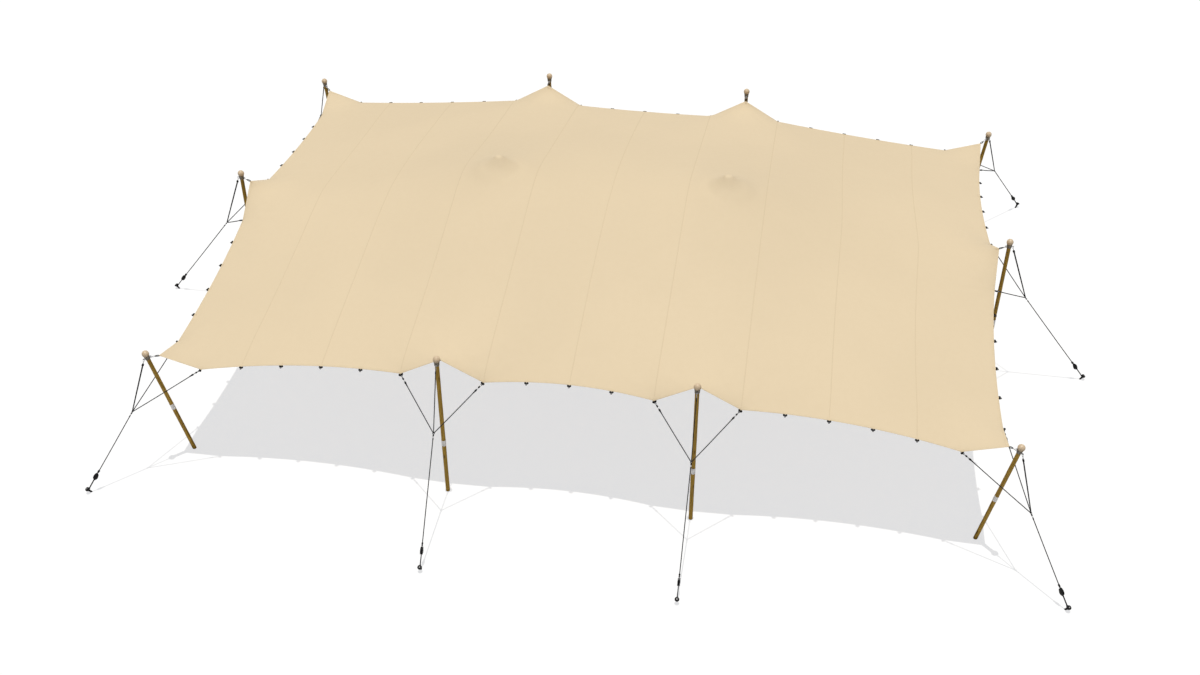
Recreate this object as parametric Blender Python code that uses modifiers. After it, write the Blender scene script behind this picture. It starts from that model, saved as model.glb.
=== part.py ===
"""Stretch tent: a membrane on ten outer poles and two centre poles, guyed to ten stakes.

Metres, +Z up, ground at z = 0. +X runs along the long side and -Y is the front.
The plan is symmetric about both vertical planes through the centre.
"""

import math

import bmesh
import bpy
import numpy as np
from mathutils import Matrix, Vector
from mathutils.bvhtree import BVHTree

# Canopy edge in the quarter with x and y positive. A tip hangs from a pole head
# and a kink is where a spreader rope pulls.
corner_tip = Vector((7.5, 4.983, 2.39))
corner_kink_long = Vector((6.75, 4.967, 2.148))
mid_kink_outer = Vector((3.0, 4.95, 2.544))
mid_tip = Vector((2.25, 4.98, 2.98))
mid_kink_inner = Vector((1.5, 4.955, 2.545))
corner_kink_side = Vector((7.48, 4.25, 2.148))
side_kink = Vector((7.458, 0.778, 2.55))
side_tip = Vector((7.513, 0.0, 2.989))

# How far the edge bows in and up between two kinks.
middle_bow = Vector((0.0, -0.125, 0.047))
long_bow = Vector((0.0, -0.123, 0.039))
side_bow = Vector((-0.077, 0.0, 0.029))

# Membrane. The cloth rests on the pole head inside cap_radius, and is pulled
# tighter near the peak, out to about peak_pull.
peak = Vector((2.25, 0.0, 4.10))
cap_radius = 0.06
cap_drop = 0.010
peak_pull = 0.60
fullness = 0.03
canopy_thickness = 0.010
steps_per_tab = 4

# Poles: head ball centre, foot, and the height of the section joint along the pole.
corner_ball = Vector((7.657, 5.145, 2.537))
corner_foot = Vector((7.336, 4.826, 0.0))
corner_joint = 0.463
mid_ball = Vector((2.25, 5.153, 3.128))
mid_foot = Vector((2.26, 5.162, 0.0))
mid_joint = 0.384
side_ball = Vector((7.688, 0.0, 3.156))
side_foot = Vector((7.71, 0.0, 0.0))
side_joint = 0.391
pole_radius = 0.038
sleeve_radius = 0.042
sleeve_length = 0.13
pole_sides = 16

# Pole heads.
ball_radius = 0.065
collar_top_radius = 0.050
collar_foot_radius = 0.044
head_height = 0.125
lug_radius = 0.009
lug_length = 0.025
eye_size = 0.032
lug_drop = 0.075

# Rigging: rope junction, strap tensioner and stake head for each kind of pole.
corner_junction = Vector((7.996, 5.497, 1.413))
corner_tensioner = Vector((8.653, 6.164, 0.313))
corner_stake = Vector((8.807, 6.304, 0.100))
mid_junction = Vector((2.255, 5.693, 1.899))
mid_tensioner = Vector((2.25, 6.992, 0.318))
mid_stake = Vector((2.25, 7.194, 0.110))
side_junction = Vector((8.206, 0.0, 1.893))
side_tensioner = Vector((9.476, 0.0, 0.308))
side_stake = Vector((9.686, 0.0, 0.090))
rope_radius = 0.007
strap_radius = 0.011
tail_radius = 0.010
end_size = 0.030
knot_size = 0.040
clip_size = 0.036
tensioner_size = Vector((0.150, 0.050, 0.085))

# Stakes lean away from the tent.
stake_lean = math.radians(30.0)
stake_radius = 0.018
stake_head_radius = 0.037
stake_head_height = 0.036
grip_drop = 0.043

# Centre poles.
centre_pole_radius = 0.038
centre_head_radius = 0.075
centre_head_height = 0.045
centre_joint = 1.55

gap = 0.0003

canopy_colour = (0.80, 0.65, 0.45, 1.0)
pole_colour = (0.33, 0.20, 0.05, 1.0)
head_colour = (0.62, 0.50, 0.36, 1.0)
rope_colour = (0.06, 0.06, 0.065, 1.0)
stake_colour = (0.03, 0.03, 0.03, 1.0)


def clear_scene():
    for obj in list(bpy.data.objects):
        bpy.data.objects.remove(obj, do_unlink=True)


def new_collection(name):
    collection = bpy.data.collections.new(name)
    bpy.context.scene.collection.children.link(collection)
    return collection


def material_for(name, colour, roughness):
    material = bpy.data.materials.new(name)
    material.use_nodes = True
    shader = material.node_tree.nodes["Principled BSDF"]
    shader.inputs["Base Color"].default_value = colour
    shader.inputs["Roughness"].default_value = roughness
    return material


def add_object(name, mesh, collection):
    obj = bpy.data.objects.new(name, mesh)
    collection.objects.link(obj)
    return obj


def flat_mesh(obj):
    """The object's shape with its modifiers applied, as a plain mesh."""
    bpy.context.view_layer.update()
    graph = bpy.context.evaluated_depsgraph_get()
    return bpy.data.meshes.new_from_object(obj.evaluated_get(graph), depsgraph=graph)


def tree_of(obj):
    mesh = flat_mesh(obj)
    points = [obj.matrix_world @ vertex.co for vertex in mesh.vertices]
    mesh.calc_loop_triangles()
    faces = [tuple(triangle.vertices) for triangle in mesh.loop_triangles]
    tree = BVHTree.FromPolygons(points, faces)
    bpy.data.meshes.remove(mesh)
    return tree


def frame_along(start, direction):
    """A matrix that puts local +Z along the direction, with its origin at start."""
    turn = direction.normalized().to_track_quat("Z", "Y").to_matrix().to_4x4()
    return Matrix.Translation(start) @ turn


def turned(profile, sides):
    """A mesh turned about Z from (radius, height) pairs that start and end on the axis."""
    mesh = bpy.data.meshes.new("profile")
    points = [(radius, 0.0, height) for radius, height in profile]
    edges = [(i, i + 1) for i in range(len(points) - 1)]
    mesh.from_pydata(points, edges, [])
    obj = add_object("profile", mesh, helpers)
    screw = obj.modifiers.new("turn", "SCREW")
    screw.steps = sides
    screw.render_steps = sides
    screw.use_merge_vertices = True
    screw.merge_threshold = 0.00001
    result = flat_mesh(obj)
    bpy.data.objects.remove(obj, do_unlink=True)
    bpy.data.meshes.remove(mesh)
    work = bmesh.new()
    work.from_mesh(result)
    bmesh.ops.remove_doubles(work, verts=work.verts, dist=0.00001)
    bmesh.ops.recalc_face_normals(work, faces=work.faces)
    work.to_mesh(result)
    work.free()
    return result


def rod(start, end, first_radius, second_radius, sides):
    """A straight round rod between two points, twisted so that its edges meet no other shape's edges."""
    work = bmesh.new()
    length = (end - start).length
    twist = Matrix.Rotation(0.13 + 0.17 * length, 4, "Z")
    bmesh.ops.create_cone(
        work,
        cap_ends=True,
        segments=sides,
        radius1=first_radius,
        radius2=second_radius,
        depth=length,
        matrix=frame_along((start + end) / 2, end - start) @ twist,
    )
    mesh = bpy.data.meshes.new("rod")
    work.to_mesh(mesh)
    work.free()
    return mesh


def bead(centre, direction, size, around, along):
    """An ellipsoid whose first size runs along the direction and whose third stands upright."""
    forward = direction.normalized()
    side = Vector((0.0, 0.0, 1.0)).cross(forward).normalized()
    upright = forward.cross(side)
    turn = Matrix((side, upright, forward)).transposed().to_4x4()
    stretch = Matrix.Diagonal((size[1] / 2, size[2] / 2, size[0] / 2, 1.0))
    work = bmesh.new()
    bmesh.ops.create_uvsphere(
        work,
        u_segments=around,
        v_segments=along,
        radius=1.0,
        matrix=Matrix.Translation(centre) @ turn @ stretch,
    )
    mesh = bpy.data.meshes.new("bead")
    work.to_mesh(mesh)
    work.free()
    return mesh


def end_bead(centre, direction, size):
    """The small ball at the end of a rope or a link."""
    return bead(centre, direction, (size, size, size), 6, 4)


def joined(name, meshes, collection):
    """One object made of several overlapping meshes by Boolean unions."""
    obj = add_object(name, meshes[0], collection)
    cutters = []
    for number, mesh in enumerate(meshes[1:]):
        other = add_object(name + "_add", mesh, helpers)
        union = obj.modifiers.new("add_" + str(number), "BOOLEAN")
        union.operation = "UNION"
        union.solver = "EXACT"
        union.object = other
        cutters.append(other)
    merged = flat_mesh(obj)
    work = bmesh.new()
    work.from_mesh(merged)
    bmesh.ops.remove_doubles(work, verts=work.verts, dist=0.00001)
    bmesh.ops.triangulate(work, faces=work.faces)
    work.to_mesh(merged)
    work.free()
    obj.modifiers.clear()
    obj.data = merged
    for other in cutters:
        bpy.data.objects.remove(other, do_unlink=True)
    return obj


def seated(tree, centre, direction, size):
    """Moves a small bead along the direction until its nearest point is one gap from the tree."""
    work = bmesh.new()
    mesh = end_bead(centre, direction, size)
    work.from_mesh(mesh)
    bmesh.ops.subdivide_edges(work, edges=work.edges, cuts=5, use_grid_fill=True)
    samples = [vertex.co.copy() for vertex in work.verts if (vertex.co - centre).dot(direction) > 0]
    work.free()
    bpy.data.meshes.remove(mesh)
    moved = 0.0
    for _ in range(60):
        nearest = min(tree.find_nearest(point + direction * moved)[3] for point in samples)
        if nearest - gap < 0.00002:
            break
        moved += nearest - gap
    return centre + direction * moved


def mirrored(point, sides):
    return Vector((point.x * sides[0], point.y * sides[1], point.z))


def bowed(first, second, count, bow):
    """Points from first to second on a parabola with the bow at its middle."""
    points = []
    for step in range(count):
        share = step / count
        points.append(first.lerp(second, share) + bow * (4 * share * (1 - share)))
    return points


def quarter_edges():
    """The long edge from the middle to the corner, and the side edge from the middle to the corner."""
    step = steps_per_tab
    straight = Vector((0.0, 0.0, 0.0))
    other_kink = mirrored(mid_kink_inner, (-1, 1))
    long_edge = bowed(other_kink, mid_kink_inner, 4 * step, middle_bow)[2 * step :]
    long_edge += bowed(mid_kink_inner, mid_tip, step, straight)
    long_edge += bowed(mid_tip, mid_kink_outer, step, straight)
    long_edge += bowed(mid_kink_outer, corner_kink_long, 5 * step, long_bow)
    long_edge += bowed(corner_kink_long, corner_tip, step, straight)
    side_edge = bowed(side_tip, side_kink, step, straight)
    side_edge += bowed(side_kink, corner_kink_side, 5 * step, side_bow)
    side_edge += bowed(corner_kink_side, corner_tip, step, straight)
    return np.array(long_edge + [corner_tip]), np.array(side_edge + [corner_tip])


def membrane_grid():
    """Heights of a stretched membrane with a slight fullness, over a quarter of the plan."""
    long_edge, side_edge = quarter_edges()
    columns = len(long_edge)
    rows = len(side_edge)
    share = np.arange(columns) / (columns - 1)
    pull = (side_edge[:, 0] - corner_tip.x)[None, :] * (share**3)[:, None]
    x = long_edge[:, 0][:, None] + pull
    y = long_edge[:, 1][:, None] * (side_edge[:, 1] / corner_tip.y)[None, :]
    x[-1, :] = side_edge[:, 0]
    y[-1, :] = side_edge[:, 1]
    z = np.zeros((columns, rows))
    z[-1, :] = side_edge[:, 2]
    z[:, -1] = long_edge[:, 2]
    reach = np.hypot(x - peak.x, y - peak.y)
    capped = reach <= cap_radius
    z[capped] = peak.z - cap_drop * (reach[capped] / cap_radius) ** 2
    held = capped.copy()
    held[-1, :] = True
    held[:, -1] = True
    along = np.hypot(np.diff(x, axis=0), np.diff(y, axis=0))
    across = np.hypot(np.diff(x, axis=1), np.diff(y, axis=1))
    width = np.zeros((columns, rows))
    width[0] = along[0]
    width[1:-1] = (along[1:] + along[:-1]) / 2
    width[-1] = along[-1]
    depth = np.zeros((columns, rows))
    depth[:, 0] = across[:, 0]
    depth[:, 1:-1] = (across[:, 1:] + across[:, :-1]) / 2
    depth[:, -1] = across[:, -1]
    number = -np.ones((columns, rows), int)
    free = np.argwhere(~held)
    number[~held] = np.arange(len(free))
    stiffness = np.zeros((len(free), len(free)))
    load_side = np.zeros(len(free))
    for row, (i, j) in enumerate(free):
        load_side[row] += fullness * width[i, j] * depth[i, j]
        for di, dj in ((1, 0), (-1, 0), (0, 1), (0, -1)):
            # A step over a symmetry plane lands on the mirrored neighbour.
            a = abs(i + di)
            b = abs(j + dj)
            if di:
                tension = (depth[i, j] + depth[a, b]) / (2 * along[min(i, a), j])
            else:
                tension = (width[i, j] + width[a, b]) / (2 * across[i, min(j, b)])
            middle_x = (x[i, j] + x[a, b]) / 2 - peak.x
            middle_y = (y[i, j] + y[a, b]) / 2 - peak.y
            tension *= 1 + peak_pull / math.hypot(middle_x, middle_y)
            stiffness[row, row] += tension
            if held[a, b]:
                load_side[row] += tension * z[a, b]
            else:
                stiffness[row, number[a, b]] -= tension
    z[~held] = np.linalg.solve(stiffness, load_side)
    return np.stack((x, y, z), axis=-1)


def kept_lines(count, fine_until, coarse, near):
    """Grid lines kept for the solid: every second one, more by a peak, fewer far from it."""
    kept = set(range(0, fine_until, 2)) | set(range(fine_until, count, coarse)) | set(near)
    return sorted(kept | {count - 1})


def make_canopy():
    grid = membrane_grid()
    step = steps_per_tab
    peak_line = 3 * step
    columns = kept_lines(10 * step + 1, 6 * step, step, (peak_line - 1, peak_line, peak_line + 1))
    rows = kept_lines(7 * step + 1, 0, step, (1, 2))
    points = [tuple(grid[i, j]) for i in columns for j in rows]
    faces = []
    for i in range(len(columns) - 1):
        for j in range(len(rows) - 1):
            first = i * len(rows) + j
            faces.append((first, first + len(rows), first + len(rows) + 1, first + 1))
    mesh = bpy.data.meshes.new("canopy")
    mesh.from_pydata(points, [], faces)
    obj = add_object("canopy", mesh, parts)
    mirror = obj.modifiers.new("four_quarters", "MIRROR")
    mirror.use_axis = (True, True, False)
    mirror.use_clip = False
    mirror.merge_threshold = 0.0001
    solid = obj.modifiers.new("cloth_thickness", "SOLIDIFY")
    solid.thickness = canopy_thickness
    solid.offset = 0.0
    solid.use_even_offset = True
    solid.use_rim = True
    obj.data.materials.append(material_for("canopy", canopy_colour, 0.85))
    return obj


def make_pole(name, ball, foot, joint, sides):
    """A pole of two sections, cut flat on the ground, that stops under its head."""
    ball = mirrored(ball, sides)
    foot = mirrored(foot, sides)
    axis = (ball - foot).normalized()
    top = (ball - foot).length - head_height - gap
    middle = (ball - foot).length * joint
    low = middle - sleeve_length / 2
    high = middle + sleeve_length / 2
    start = -2 * pole_radius * math.hypot(axis.x, axis.y)
    profile = [(0.0, start), (pole_radius, start)]
    profile += [(pole_radius, low), (sleeve_radius, low + 0.006)]
    profile += [(sleeve_radius, high - 0.006), (pole_radius, high)]
    profile += [(pole_radius, top), (0.0, top)]
    mesh = turned(profile, pole_sides)
    mesh.transform(frame_along(foot, axis))
    for vertex in mesh.vertices:
        height_on_axis = (vertex.co - foot).dot(axis)
        if height_on_axis < start + 0.001:
            # The foot slides along the pole to the ground plane.
            vertex.co -= axis * (vertex.co.z / axis.z)
            vertex.co.z = 0.0
    obj = add_object("pole_" + name, mesh, parts)
    obj.data.materials.append(pole_material)
    return obj


def strap_lug(ball, axis, junction):
    """Where the strap hangs: beside the collar, square to the pole, on the junction's side."""
    collar = ball - axis * lug_drop
    outward = junction - collar
    outward -= axis * outward.dot(axis)
    return collar + outward.normalized() * (collar_top_radius + lug_length)


def make_pole_head(name, ball, foot, tip, junction, sides, canopy_tree):
    """Ball and collar on the pole, with a link to the canopy tip and a lug for the strap."""
    ball = mirrored(ball, sides)
    foot = mirrored(foot, sides)
    tip = mirrored(tip, sides)
    junction = mirrored(junction, sides)
    axis = (ball - foot).normalized()
    profile = [(0.0, -head_height), (collar_foot_radius, -head_height)]
    profile += [(collar_top_radius, -0.052)]
    for step in range(1, 7):
        angle = math.radians(-50.0 + step * 140.0 / 7)
        profile += [(ball_radius * math.cos(angle), ball_radius * math.sin(angle))]
    profile += [(0.0, ball_radius)]
    body = turned(profile, 12)
    body.transform(frame_along(ball, axis))
    collar = ball - axis * lug_drop
    towards_tip = (tip - collar).normalized()
    eye = seated(canopy_tree, tip - towards_tip * 0.04, towards_tip, eye_size)
    link = rod(collar, eye, lug_radius, lug_radius, 6)
    link_eye = end_bead(eye, towards_tip, eye_size)
    lug_end = strap_lug(ball, axis, junction)
    lug = rod(collar, lug_end, lug_radius, lug_radius, 6)
    lug_eye = end_bead(lug_end, lug_end - collar, end_size)
    obj = joined("pole_head_" + name, [body, link, link_eye, lug, lug_eye], parts)
    obj.data.materials.clear()
    obj.data.materials.append(head_material)
    return obj


def make_stake(name, stake, outward, sides):
    """The part of a ground stake that stands above the ground."""
    head = mirrored(stake, sides)
    away = mirrored(outward, sides).normalized()
    axis = away * math.sin(stake_lean) + Vector((0.0, 0.0, math.cos(stake_lean)))
    start = -head.z / axis.z - 0.03
    profile = [(0.0, start), (stake_radius, start), (stake_radius, -stake_head_height / 2)]
    profile += [(stake_head_radius, -stake_head_height / 2 + 0.008)]
    profile += [(stake_head_radius, 0.002), (0.6 * stake_head_radius, stake_head_height / 2)]
    profile += [(0.0, stake_head_height / 2)]
    mesh = turned(profile, 12)
    mesh.transform(frame_along(head, axis))
    for vertex in mesh.vertices:
        if (vertex.co - head).dot(axis) < start + 0.001:
            vertex.co -= axis * (vertex.co.z / axis.z)
            vertex.co.z = 0.0
    obj = add_object("stake_" + name, mesh, parts)
    obj.data.materials.append(stake_material)
    return obj


def make_rigging(name, places, kinks, sides, trees):
    """Strap, spreaders, guy rope, tensioner and tail of one pole, as one body."""
    ball, foot, junction, tensioner, stake = [mirrored(place, sides) for place in places]
    kinks = [mirrored(kink, sides) for kink in kinks]
    axis = (ball - foot).normalized()
    lug_end = strap_lug(ball, axis, junction)
    towards_head = (lug_end - junction).normalized()
    strap_end = seated(trees["head"], lug_end - towards_head * 0.05, towards_head, end_size)
    meshes = [bead(junction, Vector((1.0, 0.3, 0.0)), (knot_size, knot_size, knot_size), 7, 5)]
    meshes.append(rod(junction + towards_head * 0.005, strap_end, rope_radius, strap_radius, 7))
    meshes.append(end_bead(strap_end, towards_head, end_size))
    for kink in kinks:
        towards_kink = (kink - junction).normalized()
        clip = seated(trees["canopy"], kink - towards_kink * 0.04, towards_kink, clip_size)
        meshes.append(rod(junction + towards_kink * 0.004, clip, rope_radius, rope_radius, 6))
        meshes.append(end_bead(clip, towards_kink, clip_size))
    towards_tail = (tensioner - junction).normalized()
    meshes.append(rod(junction + towards_tail * 0.003, tensioner, rope_radius, rope_radius, 6))
    meshes.append(bead(tensioner, towards_tail, tensioner_size, 8, 6))
    outward = Vector((towards_tail.x, towards_tail.y, 0.0)).normalized()
    stake_axis = outward * math.sin(stake_lean) + Vector((0.0, 0.0, math.cos(stake_lean)))
    grip = stake - stake_axis * grip_drop
    towards_stake = (grip - tensioner).normalized()
    tail_end = seated(trees["stake"], grip - towards_stake * 0.045, towards_stake, end_size)
    tail_start = tensioner + towards_stake * 0.02
    meshes.append(rod(tail_start, tail_end, tail_radius, tail_radius, 7))
    meshes.append(end_bead(tail_end, towards_stake, end_size))
    obj = joined("rigging_" + name, meshes, parts)
    obj.data.materials.clear()
    obj.data.materials.append(rope_material)
    return obj


def make_centre_pole(name, side, canopy_tree):
    """A centre pole and the domed head that lifts the canopy to its peak."""
    place = Vector((peak.x * side, 0.0, 0.0))
    up = Vector((0.0, 0.0, 1.0))
    profile = [(0.0, 0.0), (0.05, 0.0), (centre_head_radius, centre_head_height * 0.35)]
    for step in range(1, 5):
        turn = math.radians(18.0 * step)
        lift = 0.35 + 0.65 * math.sin(turn)
        profile += [(centre_head_radius * math.cos(turn), centre_head_height * lift)]
    profile += [(0.0, centre_head_height)]
    mesh = turned(profile, 16)
    mesh.transform(Matrix.Translation(place))
    # The dome rises until its nearest point is one gap below the cloth.
    room = [canopy_tree.ray_cast(vertex.co + up, up)[0].z - vertex.co.z for vertex in mesh.vertices]
    head_foot = min(room) - gap
    mesh.transform(Matrix.Translation(up * head_foot))
    head = add_object("centre_pole_head_" + name, mesh, parts)
    head.data.materials.append(head_material)
    low = centre_joint - sleeve_length / 2
    high = centre_joint + sleeve_length / 2
    profile = [(0.0, 0.0), (centre_pole_radius, 0.0)]
    profile += [(centre_pole_radius, low), (sleeve_radius, low + 0.006)]
    profile += [(sleeve_radius, high - 0.006), (centre_pole_radius, high)]
    profile += [(centre_pole_radius, head_foot - gap), (0.0, head_foot - gap)]
    mesh = turned(profile, pole_sides)
    mesh.transform(Matrix.Translation(place))
    pole = add_object("centre_pole_" + name, mesh, parts)
    pole.data.materials.append(pole_material)


clear_scene()
helpers = new_collection("helpers")
helpers.hide_render = True
parts = new_collection("stretch_tent")
pole_material = material_for("pole", pole_colour, 0.6)
head_material = material_for("pole_head", head_colour, 0.6)
rope_material = material_for("rigging", rope_colour, 0.8)
stake_material = material_for("stake", stake_colour, 0.6)

canopy = make_canopy()
canopy_tree = tree_of(canopy)

corner_kind = (corner_ball, corner_foot, corner_junction, corner_tensioner, corner_stake)
mid_kind = (mid_ball, mid_foot, mid_junction, mid_tensioner, mid_stake)
side_kind = (side_ball, side_foot, side_junction, side_tensioner, side_stake)
corner_kinks = (corner_kink_long, corner_kink_side)
mid_kinks = (mid_kink_inner, mid_kink_outer)
side_kinks = (side_kink, Vector((side_kink.x, -side_kink.y, side_kink.z)))

positions = []
for depth_name, depth_side in (("front", -1), ("rear", 1)):
    for width_name, width_side in (("left", -1), ("right", 1)):
        sides = (width_side, depth_side)
        name = depth_name + "_" + width_name
        positions.append(("corner_" + name, corner_kind, corner_joint, corner_tip, corner_kinks, sides))
        positions.append((name, mid_kind, mid_joint, mid_tip, mid_kinks, sides))
for width_name, width_side in (("left", -1), ("right", 1)):
    positions.append(("side_" + width_name, side_kind, side_joint, side_tip, side_kinks, (width_side, 1)))

for name, kind, joint, tip, kinks, sides in positions:
    ball, foot, junction, tensioner, stake = kind
    outward = Vector((tensioner.x - junction.x, tensioner.y - junction.y, 0.0))
    make_pole(name, ball, foot, joint, sides)
    head = make_pole_head(name, ball, foot, tip, junction, sides, canopy_tree)
    post = make_stake(name, stake, outward, sides)
    trees = {"canopy": canopy_tree, "head": tree_of(head), "stake": tree_of(post)}
    make_rigging(name, kind, kinks, sides, trees)

make_centre_pole("left", -1, canopy_tree)
make_centre_pole("right", 1, canopy_tree)
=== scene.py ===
import math

import bmesh
import bpy
import numpy as np
from mathutils import Matrix, Vector


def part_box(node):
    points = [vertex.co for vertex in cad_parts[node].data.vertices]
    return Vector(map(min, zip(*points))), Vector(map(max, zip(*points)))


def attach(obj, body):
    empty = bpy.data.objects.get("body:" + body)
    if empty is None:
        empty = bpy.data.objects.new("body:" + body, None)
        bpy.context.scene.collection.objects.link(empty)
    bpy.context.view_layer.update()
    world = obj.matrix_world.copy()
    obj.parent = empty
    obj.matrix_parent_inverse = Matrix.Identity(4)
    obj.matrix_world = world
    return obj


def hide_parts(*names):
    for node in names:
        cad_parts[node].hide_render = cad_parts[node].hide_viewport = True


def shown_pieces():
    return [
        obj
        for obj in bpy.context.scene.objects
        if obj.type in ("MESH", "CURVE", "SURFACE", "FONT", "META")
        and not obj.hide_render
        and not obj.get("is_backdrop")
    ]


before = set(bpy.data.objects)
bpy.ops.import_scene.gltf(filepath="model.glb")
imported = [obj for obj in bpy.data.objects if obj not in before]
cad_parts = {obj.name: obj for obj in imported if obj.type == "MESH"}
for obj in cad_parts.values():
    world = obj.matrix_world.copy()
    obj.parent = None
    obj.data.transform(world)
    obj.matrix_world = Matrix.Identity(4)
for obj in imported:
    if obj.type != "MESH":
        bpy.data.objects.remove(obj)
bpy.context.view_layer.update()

up = Vector((0.0, 0.0, 1.0))

# Places of one post of each kind, in the quarter where x and y are positive.
tentPlan = {
    "corner": {
        "ball": (7.657, 5.145, 2.537), "foot": (7.336, 4.826, 0.0), "joint": 0.463,
        "tip": (7.5, 4.983, 2.39), "kinks": ((6.75, 4.967, 2.148), (7.48, 4.25, 2.148)),
        "junction": (7.996, 5.497, 1.413), "tensioner": (8.653, 6.164, 0.313), "stake": (8.807, 6.304, 0.100),
    },
    "long": {
        "ball": (2.25, 5.153, 3.128), "foot": (2.26, 5.162, 0.0), "joint": 0.384,
        "tip": (2.25, 4.98, 2.98), "kinks": ((1.5, 4.955, 2.545), (3.0, 4.95, 2.544)),
        "junction": (2.255, 5.693, 1.899), "tensioner": (2.25, 6.992, 0.318), "stake": (2.25, 7.194, 0.110),
    },
    "side": {
        "ball": (7.688, 0.0, 3.156), "foot": (7.71, 0.0, 0.0), "joint": 0.391,
        "tip": (7.513, 0.0, 2.989), "kinks": ((7.458, 0.778, 2.55), (7.458, -0.778, 2.55)),
        "junction": (8.206, 0.0, 1.893), "tensioner": (9.476, 0.0, 0.308), "stake": (9.686, 0.0, 0.090),
    },
}
postNames = {"corner": "corner_{0}_{1}", "long": "{0}_{1}", "side": "side_{1}"}


def postList():
    posts = []
    for kind, plan in tentPlan.items():
        for depthName, depth in (("front", -1), ("rear", 1)):
            for widthName, width in (("left", -1), ("right", 1)):
                if kind == "side" and depthName == "rear":
                    continue
                flip = Vector((width, depth if kind != "side" else 1, 1))
                post = {key: Vector(value) * flip for key, value in plan.items() if key not in ("joint", "kinks")}
                post["kinks"] = [Vector(kink) * flip for kink in plan["kinks"]]
                post["joint"] = plan["joint"]
                post["kind"] = kind
                post["name"] = postNames[kind].format(depthName, widthName)
                post["axis"] = (post["ball"] - post["foot"]).normalized()
                outward = post["tensioner"] - post["junction"]
                post["outward"] = Vector((outward.x, outward.y, 0.0)).normalized()
                lean = math.radians(stakeLook["lean"])
                post["stakeAxis"] = post["outward"] * math.sin(lean) + up * math.cos(lean)
                posts.append(post)
    return posts


# ---- working with nodes

class Wire:
    # A socket that can be used in arithmetic.
    def __init__(self, tree, socket):
        self.tree = tree
        self.socket = socket

    def maths(self, operation, *values):
        node = self.tree.nodes.new("ShaderNodeMath")
        node.operation = operation
        for place, value in zip(node.inputs, values):
            feed(self.tree, place, value)
        return Wire(self.tree, node.outputs[0])

    def __add__(self, other): return self.maths("ADD", self, other)
    def __radd__(self, other): return self.maths("ADD", other, self)
    def __sub__(self, other): return self.maths("SUBTRACT", self, other)
    def __rsub__(self, other): return self.maths("SUBTRACT", other, self)
    def __mul__(self, other): return self.maths("MULTIPLY", self, other)
    def __rmul__(self, other): return self.maths("MULTIPLY", other, self)
    def __truediv__(self, other): return self.maths("DIVIDE", self, other)
    def __rtruediv__(self, other): return self.maths("DIVIDE", other, self)
    def __pow__(self, other): return self.maths("POWER", self, other)
    def __neg__(self): return self.maths("MULTIPLY", self, -1.0)


def feed(tree, place, value):
    if isinstance(value, Wire):
        tree.links.new(value.socket, place)
    elif value is not None:
        place.default_value = value


class Board:
    # A node tree, with one way to add any node to it.
    def __init__(self, tree):
        self.tree = tree

    def add(self, kind, settings=None, sockets=None, output=0):
        node = self.tree.nodes.new(kind)
        for key, value in (settings or {}).items():
            if key == "stops":
                ramp = node.color_ramp
                while len(ramp.elements) < len(value):
                    ramp.elements.new(0.5)
                for element, (place, colour) in zip(ramp.elements, value):
                    element.position = place
                    element.color = colour
            else:
                setattr(node, key, value)
        for key, value in (sockets or {}).items():
            feed(self.tree, node.inputs[key], value)
        return Wire(self.tree, node.outputs[output])


class Finish(Board):
    # A material with a Principled shader.
    def __init__(self, name, **constants):
        self.material = bpy.data.materials.new(name)
        self.material.use_nodes = True
        super().__init__(self.material.node_tree)
        self.shader = self.tree.nodes["Principled BSDF"]
        for key, value in constants.items():
            self.shader.inputs[key].default_value = value

    def place(self, name=None):
        if name is None:
            return self.add("ShaderNodeTexCoord", output="Object")
        return self.add("ShaderNodeAttribute", {"attribute_name": name}, output="Vector")

    def amount(self, name):
        return self.add("ShaderNodeAttribute", {"attribute_name": name}, output="Fac")

    def parts(self, vector):
        return [self.add("ShaderNodeSeparateXYZ", None, {0: vector}, axis) for axis in range(3)]

    def stretched(self, vector, scale):
        return self.add("ShaderNodeVectorMath", {"operation": "MULTIPLY"}, {0: vector, 1: scale})

    def shifted(self, vector, offset):
        return self.add("ShaderNodeVectorMath", {"operation": "ADD"}, {0: vector, 1: offset})

    def noise(self, vector, scale, detail=3.0, rough=0.55):
        return self.add("ShaderNodeTexNoise", None,
                        {"Vector": vector, "Scale": scale, "Detail": detail, "Roughness": rough})

    def between(self, value, low, high, newLow=0.0, newHigh=1.0):
        return self.add("ShaderNodeMapRange", {"interpolation_type": "SMOOTHSTEP"},
                        {"Value": value, "From Min": low, "From Max": high, "To Min": newLow, "To Max": newHigh})

    def mixed(self, share, first, second, way="MIX"):
        return self.add("ShaderNodeMix", {"data_type": "RGBA", "blend_type": way}, {0: share, 6: first, 7: second}, 2)

    def wear(self, colour=None, roughness=None, metallic=None, height=None, strength=0.3, distance=0.001):
        if colour is not None:
            feed(self.tree, self.shader.inputs["Base Color"], colour)
        if roughness is not None:
            feed(self.tree, self.shader.inputs["Roughness"], roughness)
        if metallic is not None:
            feed(self.tree, self.shader.inputs["Metallic"], metallic)
        if height is not None:
            bump = self.add("ShaderNodeBump", None, {"Strength": strength, "Distance": distance, "Height": height})
            feed(self.tree, self.shader.inputs["Normal"], bump)
        return self.material


def rgb(red, green, blue):
    return (red, green, blue, 1.0)


# ---- meshes

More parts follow.
